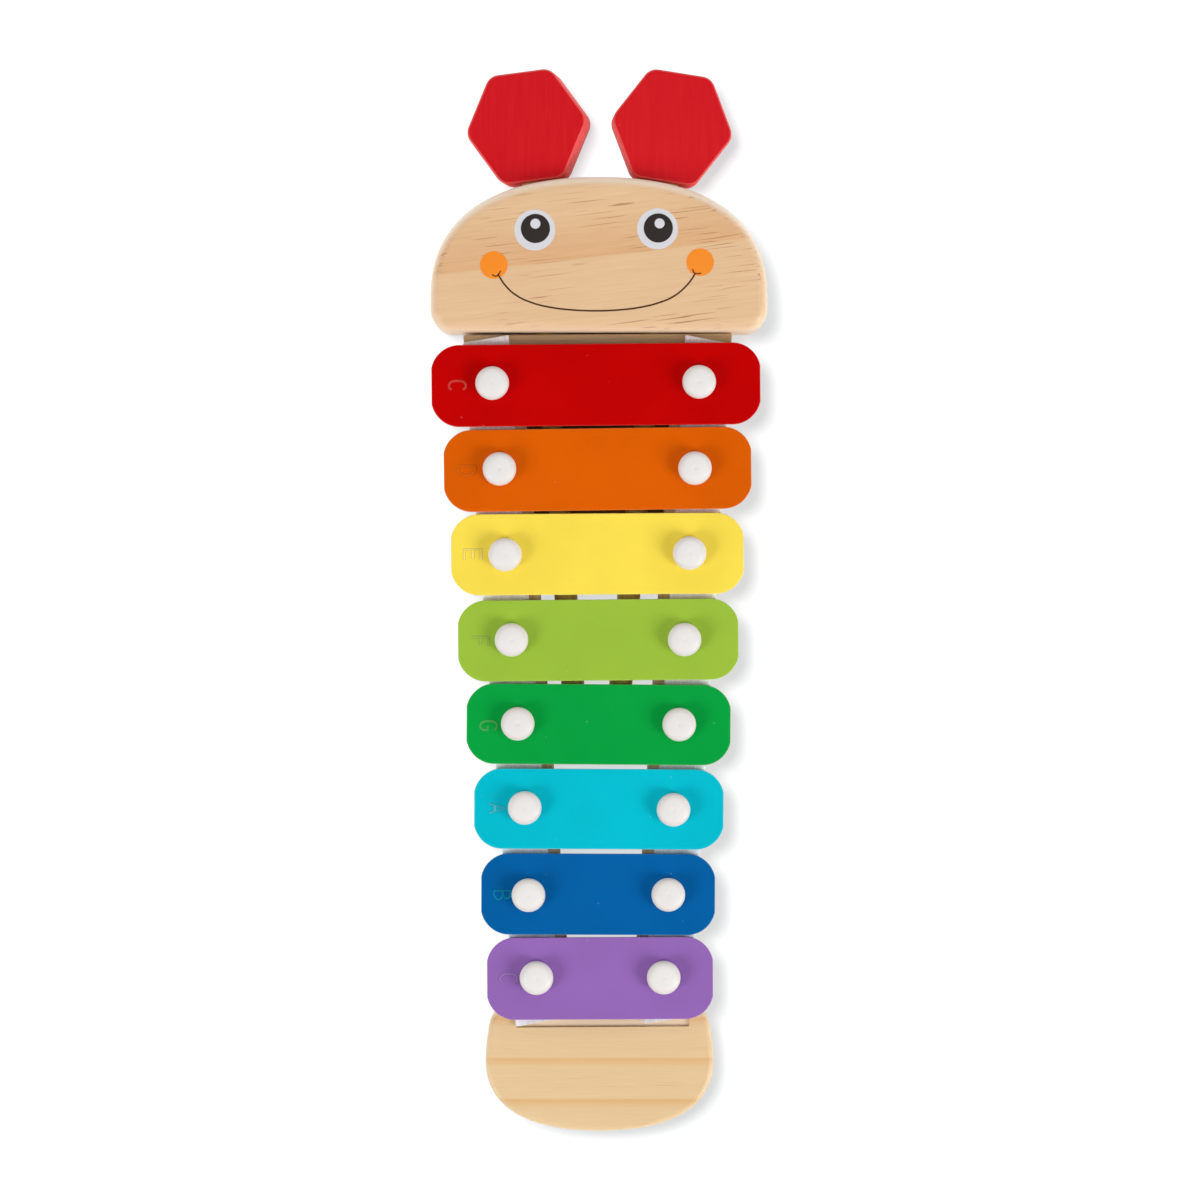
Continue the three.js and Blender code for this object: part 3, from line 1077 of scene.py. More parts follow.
# The front member's pine, darker than the rear member's as painted shade in the slot between the
# head and the first bar.
SHADED_FRONT_PINE = Pine(
    "bare_pine_front_member", "pine_frame", early=(0.47, 0.33, 0.19), late=(0.40, 0.25, 0.12),
    fleck=(0.30, 0.16, 0.07), rim=(0.58, 0.42, 0.27),
)
# A dark brown that paints the shade seen under the first bars onto the tray.
SHADE_DARK_TRAY_PINE = Pine(
    "stained_pine_tray", "pine_frame", early=(0.30, 0.165, 0.060), late=(0.22, 0.115, 0.040),
    fleck=(0.12, 0.06, 0.02), rim=(0.34, 0.20, 0.08),
)
STICK_WOOD = Pine(
    "turned_dowel_wood", "dowel_wood", early=(0.65, 0.42, 0.13), late=(0.55, 0.33, 0.09),
    fleck=(0.42, 0.23, 0.08), rim=(0.65, 0.42, 0.13), ring_width=0.003, ring_share=0.6,
    wander=0.003, fibre=0.35, fleck_amount=0.0, turn=90.0, roughness=0.5, rim_share=0.0,
)
MALLET_LACQUER = Lacquer(
    "mallet_lacquer", "mallet_red", colour=(0.640, 0.009, 0.015), wall=(0.92, 0.13, 0.12),
    rim=(0.84, 0.12, 0.11), glow=(0.660, 0.014, 0.020),
)
PIN_PLASTIC = Moulded("moulded_plastic", "pin_plastic", colour=(0.840, 0.815, 0.795),
                      rim=(0.76, 0.70, 0.66))
WOOL_FELT = Felt("wool_felt", "felt", colour=(0.80, 0.76, 0.78), shade=(0.60, 0.56, 0.58),
                 edge=(0.90, 0.90, 0.92))
WHITE_INK = Ink("white_ink", "pine_block", (0.71, 0.71, 0.74), (0.66, 0.65, 0.67))
BLACK_INK = Ink("black_ink", "pine_block", (0.021, 0.015, 0.013), (0.04, 0.03, 0.025))
BROWN_INK = Ink("brown_ink", "pine_block", (0.068, 0.022, 0.004), (0.09, 0.03, 0.006))
ORANGE_INK = Ink("orange_ink", "pine_block", (0.955, 0.265, 0.012), (0.93, 0.30, 0.03))


SPECK_TINT = 0.45  # how far a speck lies from the paint towards white


def enamel(colour_name: str, colour: Colour, rim: Colour, crest_highlight: Colour) -> Enamel:
    """The enamel of one bar.

    Args:
        colour_name: The colour's name.
        colour: The paint.
        rim: The paler paint over the rounded rim, a painted highlight.
        crest_highlight: The paler paint on top of the stamped letter, a painted highlight.

    Returns:
        The finish.
    """
    speck = tuple(channel + (1 - channel) * SPECK_TINT for channel in colour)
    return Enamel(f"gloss_enamel_{colour_name}", f"enamel_{colour_name}", colour, speck, rim,
                  crest_highlight)


# The toy's own pieces


@dataclass
class Workshop:
    """What every sub-assembly needs: the shared effects and a count of pieces."""

    shared: Shared = field(default_factory=Shared)
    made: int = 0

    def coat(self, piece: Object, finish: Finish) -> None:
        """Gives an object one finish and no other."""
        piece.data.materials.clear()
        piece.data.materials.append(finish.material(self.shared))

    def place(self, piece: Object, body: str, finish: Finish, *nodes: str) -> Object:
        """Dresses a finished piece, seats it on its body and reports it.

        Args:
            piece: The finished mesh, in place.
            body: The body that it rides on.
            finish: Its finish.
            nodes: The nodes that it stands for.

        Returns:
            The piece.
        """
        self.coat(piece, finish)
        for face in piece.data.polygons:
            face.material_index = 0
        if nodes:
            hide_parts(*nodes)
        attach(piece, body)
        self.made += 1
        log.info("%s: %d faces, %s, on %s", piece.name, len(piece.data.polygons), finish.name, body)
        return piece

    def dress_node(self, node: str, finish: Finish) -> None:
        """Gives a carried-over node its finish."""
        self.coat(frame["nodes"][node], finish)
        log.info("%s: kept, %s", node, finish.name)


@dataclass
class MalletAxis:
    """The line that one mallet slides along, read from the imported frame."""

    side: Side
    roll_degrees: float
    stick_in_head: float = 0.025
    slack: float = 0.0003  # how far it stays from being pushed right home
    rim_depth: float = 1e-5  # points this close to the stick's end are its rim

    @property
    def direction(self) -> Vector:
        """The way that the mallet is drawn out."""
        name = f"mallet_{self.side.value}_draw"
        joint = next(joint for joint in frame["joints"] if joint["name"] == name)
        return Vector(joint["axis"]).normalized()

    @property
    def stick_points(self) -> list[Vector]:
        """The points of the stick's node."""
        return [v.co for v in frame["nodes"][f"mallet_stick_{self.side.value}"].data.vertices]

    @property
    def origin(self) -> Vector:
        """Where the axis meets the rear flat of the mallet's head."""
        way, points = self.direction, self.stick_points
        reach = max(point.dot(way) for point in points)
        rim = {tuple(round(c, 6) for c in p) for p in points if reach - p.dot(way) < self.rim_depth}
        middle = sum((Vector(point) for point in rim), Vector()) / len(rim)
        return middle - way * (self.stick_in_head - self.slack)

    @property
    def matrix(self) -> Matrix:
        """The mallet's own frame, with +Y along the stick."""
        way = self.direction
        lean = math.atan2(-way.x, way.y)
        roll = math.radians(self.side.sign * self.roll_degrees)
        return (Matrix.Translation(self.origin) @ Matrix.Rotation(lean, 4, "Z")
                @ Matrix.Rotation(roll, 4, "Y"))

    def hole(self, radius: float, near: float, far: float) -> Object:
        """A cutter for the stick's hole through a board.

        Args:
            radius: The hole's radius.
            near: Where the board starts along Y.
            far: Where it ends.

        Returns:
            The cutter.
        """
        way, origin = self.direction, self.origin
        ends = [origin + way * ((y - origin.y) / way.y) for y in (near - OVERRUN, far + OVERRUN)]
        return rod(f"bore_{self.side.value}", radius, *ends)


@dataclass(frozen=True)
class DiscPair:
    """Two printed discs, one at each side of the face."""

    name: str
    radius: float
    ink: Ink
    layer: int  # how many layers of ink there are up to its top
    left: Point
    right: Point


@dataclass
class Head:
    """The thick domed block with the printed face."""

    back: float = 0.0982
    width: float = 0.1233
    height: float = 0.030
    shoulder: float = 0.0132
    dome: float = 0.0435
    corner: float = 0.008
    roundover: float = 0.0037
    hole_radius: float = 0.0046
    print_depth: float = 0.00004
    worn_share: float = 0.02  # of a disc's radius
    worn_depth: float = 0.15  # of the print's depth
    discs: tuple[DiscPair, ...] = (
        DiscPair("eye_white", 0.00749, WHITE_INK, 1, (-0.02342, 0.13516), (0.02141, 0.13560)),
        DiscPair("pupil", 0.00533, BLACK_INK, 2, (-0.02320, 0.13571), (0.02170, 0.13589)),
        DiscPair("glint", 0.00183, WHITE_INK, 3, (-0.02320, 0.13746), (0.02217, 0.13757)),
        DiscPair("cheek", 0.00504, ORANGE_INK, 1, (-0.03839, 0.12238), (0.03697, 0.12340)),
    )
    line_layer: int = 2  # how many layers of ink there are up to a line's top
    smile_width: float = 0.00062
    smile: tuple[Point, ...] = (
        (-0.03689, 0.11898), (-0.03415, 0.11487), (-0.03004, 0.11122), (-0.02410, 0.10848),
        (-0.01770, 0.10693), (-0.01040, 0.10601), (-0.00128, 0.10565), (0.00785, 0.10601),
        (0.01516, 0.10693), (0.02155, 0.10848), (0.02703, 0.11076), (0.03114, 0.11396),
        (0.03388, 0.11715), (0.03525, 0.11944),
    )
    hook_width: float = 0.0005
    left_hook: tuple[Point, ...] = ((-0.0391, 0.1189), (-0.0377, 0.1183), (-0.0365, 0.1192),
                                    (-0.0359, 0.1203))
    right_hook: tuple[Point, ...] = ((0.0342, 0.1209), (0.0347, 0.1197), (0.0358, 0.1192),
                                     (0.0374, 0.1194))

    def outline(self) -> Outline:
        """The outline seen from above.

        Returns:
            The outline.
        """
        half, back, corner = self.width / 2, self.back, self.corner
        widest, top = back + self.shoulder, back + self.shoulder + self.dome
        return (
            Outline().to(corner - half, back).to(half - corner, back)
            .bend((half, back), (half, back + corner), CIRCLE).to(half, widest)
            .bend((half, top), (0, top), DOME).bend((-half, top), (-half, widest), DOME)
            .to(-half, back + corner).bend((-half, back), (corner - half, back), CIRCLE)
        )

    def disc(self, name: str, place: Point, radius: float, layer: int) -> Object:
        """A printed disc, very slightly proud of the wood.

        Args:
            name: The disc's name.
            place: Its middle across the face and along the toy.
            radius: Its radius.
            layer: How many layers of ink there are up to its top.

        Returns:
            The disc, with a worn rim.
        """
        deselect_all()
        top = self.height + self.print_depth * layer
        bpy.ops.mesh.primitive_cylinder_add(vertices=96, radius=radius, depth=self.print_depth * 2,
                                            location=(*place, top - self.print_depth))
        piece = settle(fresh(name))
        pick_faces(piece, lambda face: face.normal.z > LEVEL)
        with editing(piece):
            bpy.ops.mesh.inset(thickness=radius * self.worn_share,
                               depth=self.print_depth * self.worn_depth)
        return smooth(piece)

    def line(self, name: str, points: Sequence[Point], width: float) -> Object:
        """A printed line through some points.

        Args:
            name: The line's name.
            points: Where it runs.
            width: How wide it is.

        Returns:
            The line, as a flat mesh.
        """
        knots = [(x, y, Knot.ROUND) for x, y in points]
        piece = drawn_line(name, knots, width, fineness=16)
        piece.scale = (1, 1, 2 * self.print_depth / width)
        piece.location.z = self.height + self.print_depth * (self.line_layer - 1)
        settle(piece)
        tidy_mesh(piece)
        return smooth(piece)

    def build(self, shop: Workshop, axes: Sequence[MalletAxis]) -> None:
        """Makes the block and prints its face.

        Args:
            shop: The workshop.
            axes: The mallets' axes, which the holes follow.
        """
        block = board("head_of_pine", self.outline(), 0, self.height, fineness=40)
        ease_rims(block, self.roundover, steps=6)
        top = self.back + self.shoulder + self.dome
        carve(block, [axis.hole(self.hole_radius, self.back, top) for axis in axes])
        shop.place(smooth(block), BASE, HEAD_PINE, "head_block")
        for pair in self.discs:
            for side, place in zip(Side, (pair.left, pair.right), strict=True):
                disc = self.disc(f"{pair.name}_{side.value}", place, pair.radius, pair.layer)
                shop.place(disc, BASE, pair.ink)
        shop.place(self.line("smile_line", self.smile, self.smile_width), BASE, BROWN_INK)
        for side, hook in zip(Side, (self.left_hook, self.right_hook), strict=True):
            end = self.line(f"smile_end_{side.value}", hook, self.hook_width)
            shop.place(end, BASE, BROWN_INK)


@dataclass
class Frame:
    """Two rails and two cross-members, glued in slightly askew, with a tray under the sticks, dark
    brown as painted shade.
    """

    height: float = 0.022
    front: float = 0.0975554
    rear: float = -0.1566446
    front_width: float = 0.0987
    rear_width: float = 0.0634
    member_depth: float = 0.012
    rail_width: float = 0.0210057
    gap: float = 0.0003
    tray_length: float = 0.068
    tray_thickness: float = 0.003
    ease: float = 0.0006
    skew_degrees: float = 0.4
    shift: float = 0.0002
    hole_radius: float = 0.0046
    rear_drop: float = 0.0010  # how much lower the rear member lies than the tail

    @property
    def matrix(self) -> Matrix:
        """The frame's own place in the toy."""
        return (Matrix.Translation((self.shift, 0, 0))
                @ Matrix.Rotation(math.radians(self.skew_degrees), 4, "Z"))

    def edge(self, y: float) -> float:
        """Half the frame's width at a distance along it."""
        along = (self.front - y) / (self.front - self.rear)
        return (self.front_width + (self.rear_width - self.front_width) * along) / 2

    def rail_middle(self, y: float) -> float:
        """How far a rail's middle lies from the frame's own."""
        return self.edge(y) - self.rail_width / 2

    def finished(self, name: str, corners: Sequence[Point], top: float, ease: float) -> Object:
        """A straight-sided board with eased edges.

        Args:
            name: The board's name.
            corners: Its corners, seen from above.
            top: Its height.
            ease: How far its edges are rounded.

        Returns:
            The board, in the frame's own place.
        """
        piece = board(name, polygon(corners), 0, top)
        ease_rims(piece, ease, steps=2)
        return settle(piece, self.matrix)

    def crossing(self, near: float, far: float, inset: float = 0.0) -> list[Point]:
        """The corners of a board across the frame.

        Args:
            near: Its rear end.
            far: Its front end.
            inset: How far its ends stay inside the frame's edges.

        Returns:
            The corners, seen from above.
        """
        a, b = self.edge(near) - inset, self.edge(far) - inset
        return [(-a, near), (a, near), (b, far), (-b, far)]

    def rail_corners(self, side: Side) -> list[Point]:
        """The corners of the rail on one side.

        Args:
            side: Its side.

        Returns:
            The corners, seen from above.
        """
        near = self.rear + self.member_depth + self.gap
        far = self.front - self.member_depth - self.gap
        outer = [side.sign * self.edge(y) for y in (near, far)]
        inner = [x - side.sign * self.rail_width for x in outer]
        return [(outer[0], near), (outer[1], far), (inner[1], far), (inner[0], near)]

    def build(self, shop: Workshop, axes: Sequence[MalletAxis]) -> None:
        """Makes the four boards and the tray, and dresses the hidden dowels.

        Args:
            shop: The workshop.
            axes: The mallets' axes, which the holes follow.
        """
        behind_front, before_rear = self.front - self.member_depth, self.rear + self.member_depth
        front = self.finished("pine_front_member", self.crossing(behind_front, self.front),
                              self.height, self.ease)
        carve(front, [axis.hole(self.hole_radius, behind_front, self.front) for axis in axes])
        # The front member is coloured darker as painted shade.
        shop.place(smooth(front), BASE, SHADED_FRONT_PINE, "front_cross_member")
        rear = self.finished("pine_rear_member", self.crossing(self.rear, before_rear),
                             self.height - self.rear_drop, self.ease / 4)
        shop.place(smooth(rear), BASE, CROSS_PINE, "rear_cross_member")
        # The tray lies under the first sticks, coloured dark brown as painted shade.
        floor = self.crossing(behind_front - self.tray_length, behind_front,
                              self.rail_width - self.gap / 2)
        tray = self.finished("pine_stick_tray", floor, self.tray_thickness, self.ease)
        shop.place(smooth(tray), BASE, SHADE_DARK_TRAY_PINE, "stick_tray")
        for side in Side:
            rail = self.finished(f"pine_rail_{side.value}", self.rail_corners(side), self.height,
                                 self.ease)
            shop.place(smooth(rail), BASE, FRAME_PINE, f"rail_{side.value}")
            for joint in ("rail_front", "rail_rear", "head", "tail"):
                shop.dress_node(f"dowel_{joint}_{side.value}", STICK_WOOD)


@dataclass
class Tail:
    """The rounded block whose horns reach round the rear of the frame."""

    width: float = 0.0837
    shift: float = 0.0002
    shoulder: float = 0.0126
    bulge: float = 0.0257
    horn_length: float = 0.0083
    horn_taper: float = 0.001
    horn_radius: float = 0.010
    waist_shift: float = 0.001
    waist_full: float = 0.6
    height: float = 0.022
    roundover: float = 0.0034
    gap: float = 0.00003

    def outline(self, notch: float) -> Outline:
        """The outline seen from above, before the notch is cut.

        Args:
            notch: Where the bottom of the notch lies.

        Returns:
            The outline.
        """
        half, horn, radius = self.width / 2, self.width / 2 - self.horn_taper, self.horn_radius
        top, widest = notch + self.horn_length, notch - self.shoulder
        low, mid, full = widest - self.bulge, self.shift, self.waist_full
        waist = (top - radius + widest) / 2 + self.waist_shift
        return (
            Outline().to(mid + horn, top - radius)
            .bend((mid + horn, top), (mid + horn - radius, top), CIRCLE)
            .to(mid - horn + radius, top)
            .bend((mid - horn, top), (mid - horn, top - radius), CIRCLE)
            .bend((mid - half, waist), (mid - half, widest), full)
            .bend((mid - half, low), (mid, low), DOME)
            .bend((mid + half, low), (mid + half, widest), DOME)
            .bend((mid + half, waist), (mid + horn, top - radius), full)
        )

    def build(self, shop: Workshop, held: Frame) -> None:
        """Makes the block and cuts its notch to the frame.

        Args:
            shop: The workshop.
            held: The frame that the notch goes round.
        """
        notch = held.rear - self.gap
        block = board("tail_of_pine", self.outline(notch), 0, self.height, fineness=40)
        ease_rims(block, self.roundover, steps=6)
        open_end = notch + self.horn_length + OVERRUN
        half, flare = held.edge(held.rear) + self.gap, held.edge(open_end) + self.gap
        corners = [(-half, notch), (half, notch), (flare, open_end), (-flare, open_end)]
        cutter = board("notch", polygon(corners), -OVERRUN, self.height + OVERRUN)
        carve(block, [settle(cutter, held.matrix)])
        shop.place(smooth(block), BASE, TAIL_PINE, "tail_block")


class Note(Enum):
    """The bars' notes, from the longest bar to the shortest."""

    C_LOW = "c_low"
    D = "d"
    E = "e"
    F = "f"
    G = "g"
    A = "a"
    B = "b"
    C_HIGH = "c_high"

    @property
    def letter(self) -> str:
        """The letter stamped into the bar."""
        return self.value[0].upper()


SHARP, ROUND = Knot.SHARP, Knot.ROUND
HOOK = [(1, 0.84, ROUND), (0.72, 0.99, ROUND), (0.26, 0.95, ROUND), (0.02, 0.72, ROUND),
        (0, 0.5, ROUND), (0.02, 0.28, ROUND), (0.26, 0.05, ROUND), (0.72, 0.01, ROUND)]
STROKES: dict[str, list[list[tuple[float, float, Knot]]]] = {
    "A": [[(0, 0, SHARP), (0.5, 1, SHARP), (1, 0, SHARP)],
          [(0.18, 0.33, SHARP), (0.82, 0.33, SHARP)]],
    "B": [[(0, 0, SHARP), (0, 1, SHARP), (0.5, 1, ROUND), (0.88, 0.78, ROUND),
           (0.5, 0.55, ROUND), (0, 0.55, SHARP)],
          [(0.5, 0.55, SHARP), (1, 0.28, ROUND), (0.5, 0, ROUND), (0, 0, SHARP)]],
    "C": [[*HOOK, (1, 0.16, ROUND)]],
    "D": [[(0, 0, SHARP), (0, 1, SHARP), (0.5, 1, ROUND), (0.97, 0.72, ROUND),
           (0.97, 0.28, ROUND), (0.5, 0, ROUND), (0, 0, SHARP)]],
    "E": [[(1.1, 1, SHARP), (-0.1, 1, SHARP), (-0.1, 0, SHARP), (1.1, 0, SHARP)],
          [(-0.1, 0.52, SHARP), (1, 0.52, SHARP)]],
    "F": [[(1, 1, SHARP), (0, 1, SHARP), (0, 0, SHARP)], [(0, 0.52, SHARP), (0.85, 0.52, SHARP)]],
    "G": [[*HOOK, (1, 0.16, SHARP), (1, 0.45, SHARP), (0.55, 0.45, SHARP)]],
}  # in shares of the letter's width and height


@dataclass
class Bar:
    """One enamelled steel bar with its note stamped at the left end."""

    note: Note
    length: float
    turn_degrees: float
    finish: Enamel
    letter_inset: float
    letter_drop: float
    slide: Point  # where the loose bar lies, across and along
    width: float = 0.0297
    thickness: float = 0.002
    run: float = 0.01025
    rise: float = 0.0084
    ease: float = 0.0003
    ring: float = 0.0002
    letter_long: float = 0.0072
    letter_wide: float = 0.0043
    letter_rise: float = 0.0002
    stroke: float = 0.00105

    def outline(self) -> Outline:
        """Straight ends between four corner arcs.

        Returns:
            The outline, round the bar's own middle.
        """
        half, side, run, rise = self.length / 2, self.width / 2, self.run, self.rise
        radius = (run ** 2 + rise ** 2) / (2 * rise)
        sweep = math.asin(run / radius)
        reach = radius * math.tan(sweep / 2)
        full = 4 / 3 * math.tan(sweep / 4) / math.tan(sweep / 2)
        tip = half - run + reach
        return (
            Outline().to(run - half, -side).to(half - run, -side)
            .bend((tip, -side), (half, rise - side), full).to(half, side - rise)
            .bend((tip, side), (half - run, side), full).to(run - half, side)
            .bend((-tip, side), (-half, side - rise), full).to(-half, rise - side)
            .bend((-tip, -side), (run - half, -side), full)
        )

    def stamp(self) -> Object:
        """The note's letter, whose strokes the stamp leaves a hair proud of the enamel.

        Returns:
            The strokes as one mesh, at the bar's top.
        """
        name = f"stamped_letter_{self.note.value}"
        inner = Vector((self.letter_wide - self.stroke, self.letter_long - self.stroke))
        letter = join([
            drawn_line(name, [((x - 0.5) * inner.x, (y - 0.5) * inner.y, kind)
                              for x, y, kind in knots], self.stroke, fineness=6)
            for knots in STROKES[self.note.letter]
        ], name)
        flat = Matrix.Diagonal((1, 1, 2 * self.letter_rise / self.stroke, 1))
        place = Matrix.Translation((self.letter_inset - self.length / 2, -self.letter_drop,
                                    self.thickness))
        settle(letter, place @ Matrix.Rotation(-math.pi / 2, 4, "Z") @ flat)
        tidy_mesh(letter)
        return letter

    def build(self, shop: Workshop, place: Matrix, pins: float, hole: float) -> None:
        """Makes the bar.

        Args:
            shop: The workshop.
            place: The bar's place in the toy.
            pins: How far each pin stands from the bar's middle.
            hole: The radius of its holes.
        """
        note = self.note.value
        plate = board(f"enamelled_bar_{note}", self.outline(), 0, self.thickness, fineness=20)
        ease_rims(plate, self.ease, steps=3, margin=self.ring)
        ends = (-OVERRUN, self.thickness + OVERRUN)
        carve(plate, [rod(f"hole_{side.value}", hole,
                          *(Vector((side.sign * pins, 0, z)) for z in ends), sides=32)
                      for side in Side])
        settle(plate, place)
        shop.place(smooth(plate, degrees=30), f"loose_{note}", self.finish, f"bar_{note}")
        letter = settle(self.stamp(), place)
        shop.place(smooth(letter, degrees=20), f"loose_{note}", self.finish.stamped())


@dataclass
class PinRow:
    """Where the pins really stand, each a little off its place in the frame."""

    drifts: tuple[tuple[Point, Point], ...] = (
        ((0.18, 1.02), (-0.36, 0.98)), ((0.47, 0.77), (0.04, 0.51)),
        ((0.15, 0.47), (0.0, 0.55)), ((0.11, 0.37), (0.11, 0.04)),
        ((0.04, 0.77), (0.11, 0.11)), ((0.22, 1.10), (-0.04, 0.04)),
        ((-0.80, 0.26), (0.0, 0.07)), ((-0.26, 1.06), (0.26, 0.91)),
    )  # left and right at each bar in turn, in millimetres across and along

    def middle(self, note: Note, side: Side) -> Vector:
        """The middle of one pin.

        Args:
            note: The bar that it holds.
            side: Its side.

        Returns:
            The place, half way up the pin's node.
        """
        low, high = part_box(f"pin_{note.value}_{side.value}")
        drift = self.drifts[list(Note).index(note)][side is Side.RIGHT]
        return (low + high) / 2 + Vector((*drift, 0)) / 1000


@dataclass
class Pins:
    """The sixteen mushroom-headed pins."""

    shank: float = 0.0025
    chamfer: float = 0.0005
    head: float = 0.00615
    rise: float = 0.0042
    rim: float = 0.0008
    flatness: float = 3.2  # two would be an ellipse
    crown_steps: int = 14
    dimple: float = 0.0004
    dimple_reach: float = 0.00064  # inside which the crown gives way to the dimple
    dimple_depth: float = 0.00016
    lip: float = 0.00035

    def profile(self, foot: float, seat: float) -> list[Point]:
        """Radius and height of the pin's points.

        Args:
            foot: The bottom of the shank.
            seat: The underside of the head.

        Returns:
            The profile, from axis to axis.
        """
        crown, top = self.rise - self.rim, seat + self.rise
        under = lower_quarter((self.head - self.lip, seat + self.lip), self.lip, steps=3)
        turns = [math.radians(90 * i / self.crown_steps) for i in range(self.crown_steps)]
        over = [(self.head * math.cos(t) ** (2 / self.flatness),
                 seat + self.rim + crown * math.sin(t) ** (2 / self.flatness)) for t in turns]
        over = [point for point in over if point[0] > self.dimple_reach]
        bottom = [(0, foot), (self.shank - self.chamfer, foot),
                  (self.shank, foot + self.chamfer), (self.shank, seat)]
        hollow = [(self.dimple * out, top - self.dimple_depth * down)
                  for out, down in ((1, 0.1), (0.5, 0.8), (0, 1))]
        return bottom + under + over + hollow

    def build(self, shop: Workshop, row: PinRow) -> None:
        """Turns one pin and sets a copy of it in each place.

        Args:
            shop: The workshop.
            row: Where the pins stand.
        """
        low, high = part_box("pin_c_low_left")
        profile = self.profile(low.z, high.z - self.rise)
        model = smooth(turned("pin_model", profile, steps=56), degrees=40)
        for note in Note:
            for side in Side:
                node = f"pin_{note.value}_{side.value}"
                middle = row.middle(note, side)
                pin = copy_of(model, f"white_{node}")
                settle(pin, Matrix.Translation((middle.x, middle.y, 0)))
                shop.place(pin, BASE, PIN_PLASTIC, node)
        bpy.data.objects.remove(model)


@dataclass
class Felts:
    """The strips of felt glued along the rails, with ends cut askew by hand."""

    width: float = 0.0170
    thickness: float = 0.0015
    low: float = 0.0223
    ease: float = 0.0004
    pin_hole: float = 0.0028
    cut: Point = (0.018, 0.028)  # the heights between which the pins' holes are punched
    ripple: float = 0.00012
    waves: Triple = (1900, 7, 610)  # of the ripple, in radians: fine, its slant, and coarse
    setbacks: dict[Side, tuple[float, float, float, float]] = field(default_factory=lambda: {
        Side.LEFT: (0.0001, 0.0028, 0.0034, 0.0004),
        Side.RIGHT: (0.0005, 0.0039, 0.0012, 0.0034),
    })  # front inner, front outer, rear inner, rear outer
    outsets: dict[Side, Point] = field(default_factory=lambda: {
        Side.LEFT: (0.0023, 0.0020), Side.RIGHT: (0.0019, 0.0021),
    })  # how far the strip lies outside the rail's middle, at the front and at the rear

    def strip(self, side: Side, held: Frame) -> Object:
        """One strip, cut from flat felt.

        Args:
            side: Its side.
            held: The frame whose rail it follows.

        Returns:
            The strip, in the frame's own place.
        """
        front_in, front_out, rear_in, rear_out = self.setbacks[side]
        out_front, out_rear = self.outsets[side]
        fine, slant, coarse = self.waves
        deselect_all()
        bpy.ops.mesh.primitive_grid_add(x_subdivisions=10, y_subdivisions=150, size=1)
        strip = fresh(f"felt_strip_{side.value}")
        for vertex in strip.data.vertices:
            across, along = vertex.co.x + 0.5, vertex.co.y + 0.5
            front = held.front - front_in + (front_in - front_out) * across
            rear = held.rear + rear_in + (rear_out - rear_in) * across
            y = rear + (front - rear) * along
            outset = out_rear + (out_front - out_rear) * along
            x = held.rail_middle(y) + outset + (across - 0.5) * self.width
            edge = max(0.0, abs(across - 0.5) * 2 - 0.8) * 5  # only the outer tenths ripple
            fray = self.ripple * edge * math.sin(y * fine + across * slant) * math.sin(y * coarse)
            vertex.co = (side.sign * (x + fray), y, 0)
        modify(strip, "SOLIDIFY", thickness=self.thickness, offset=float(side.sign))
        tidy_mesh(strip)
        lowest = min(vertex.co.z for vertex in strip.data.vertices)
        settle(strip, Matrix.Translation((0, 0, self.low - lowest)))
        modify(strip, "BEVEL", width=self.ease, segments=3, limit_method="ANGLE",
               angle_limit=SHARP_EDGE)
        return settle(strip, held.matrix)

    def build(self, shop: Workshop, held: Frame, row: PinRow) -> None:
        """Makes both strips, with a hole for each pin.

        Args:
            shop: The workshop.
            held: The frame.
            row: Where the pins stand.
        """
        for side in Side:
            strip = self.strip(side, held)
            pins = [row.middle(note, side) for note in Note]
            carve(strip, [rod("hole", self.pin_hole,
                              *(Vector((pin.x, pin.y, z)) for z in self.cut), sides=24)
                          for pin in pins])
            shop.place(smooth(strip, degrees=50), BASE, WOOL_FELT, f"felt_{side.value}")


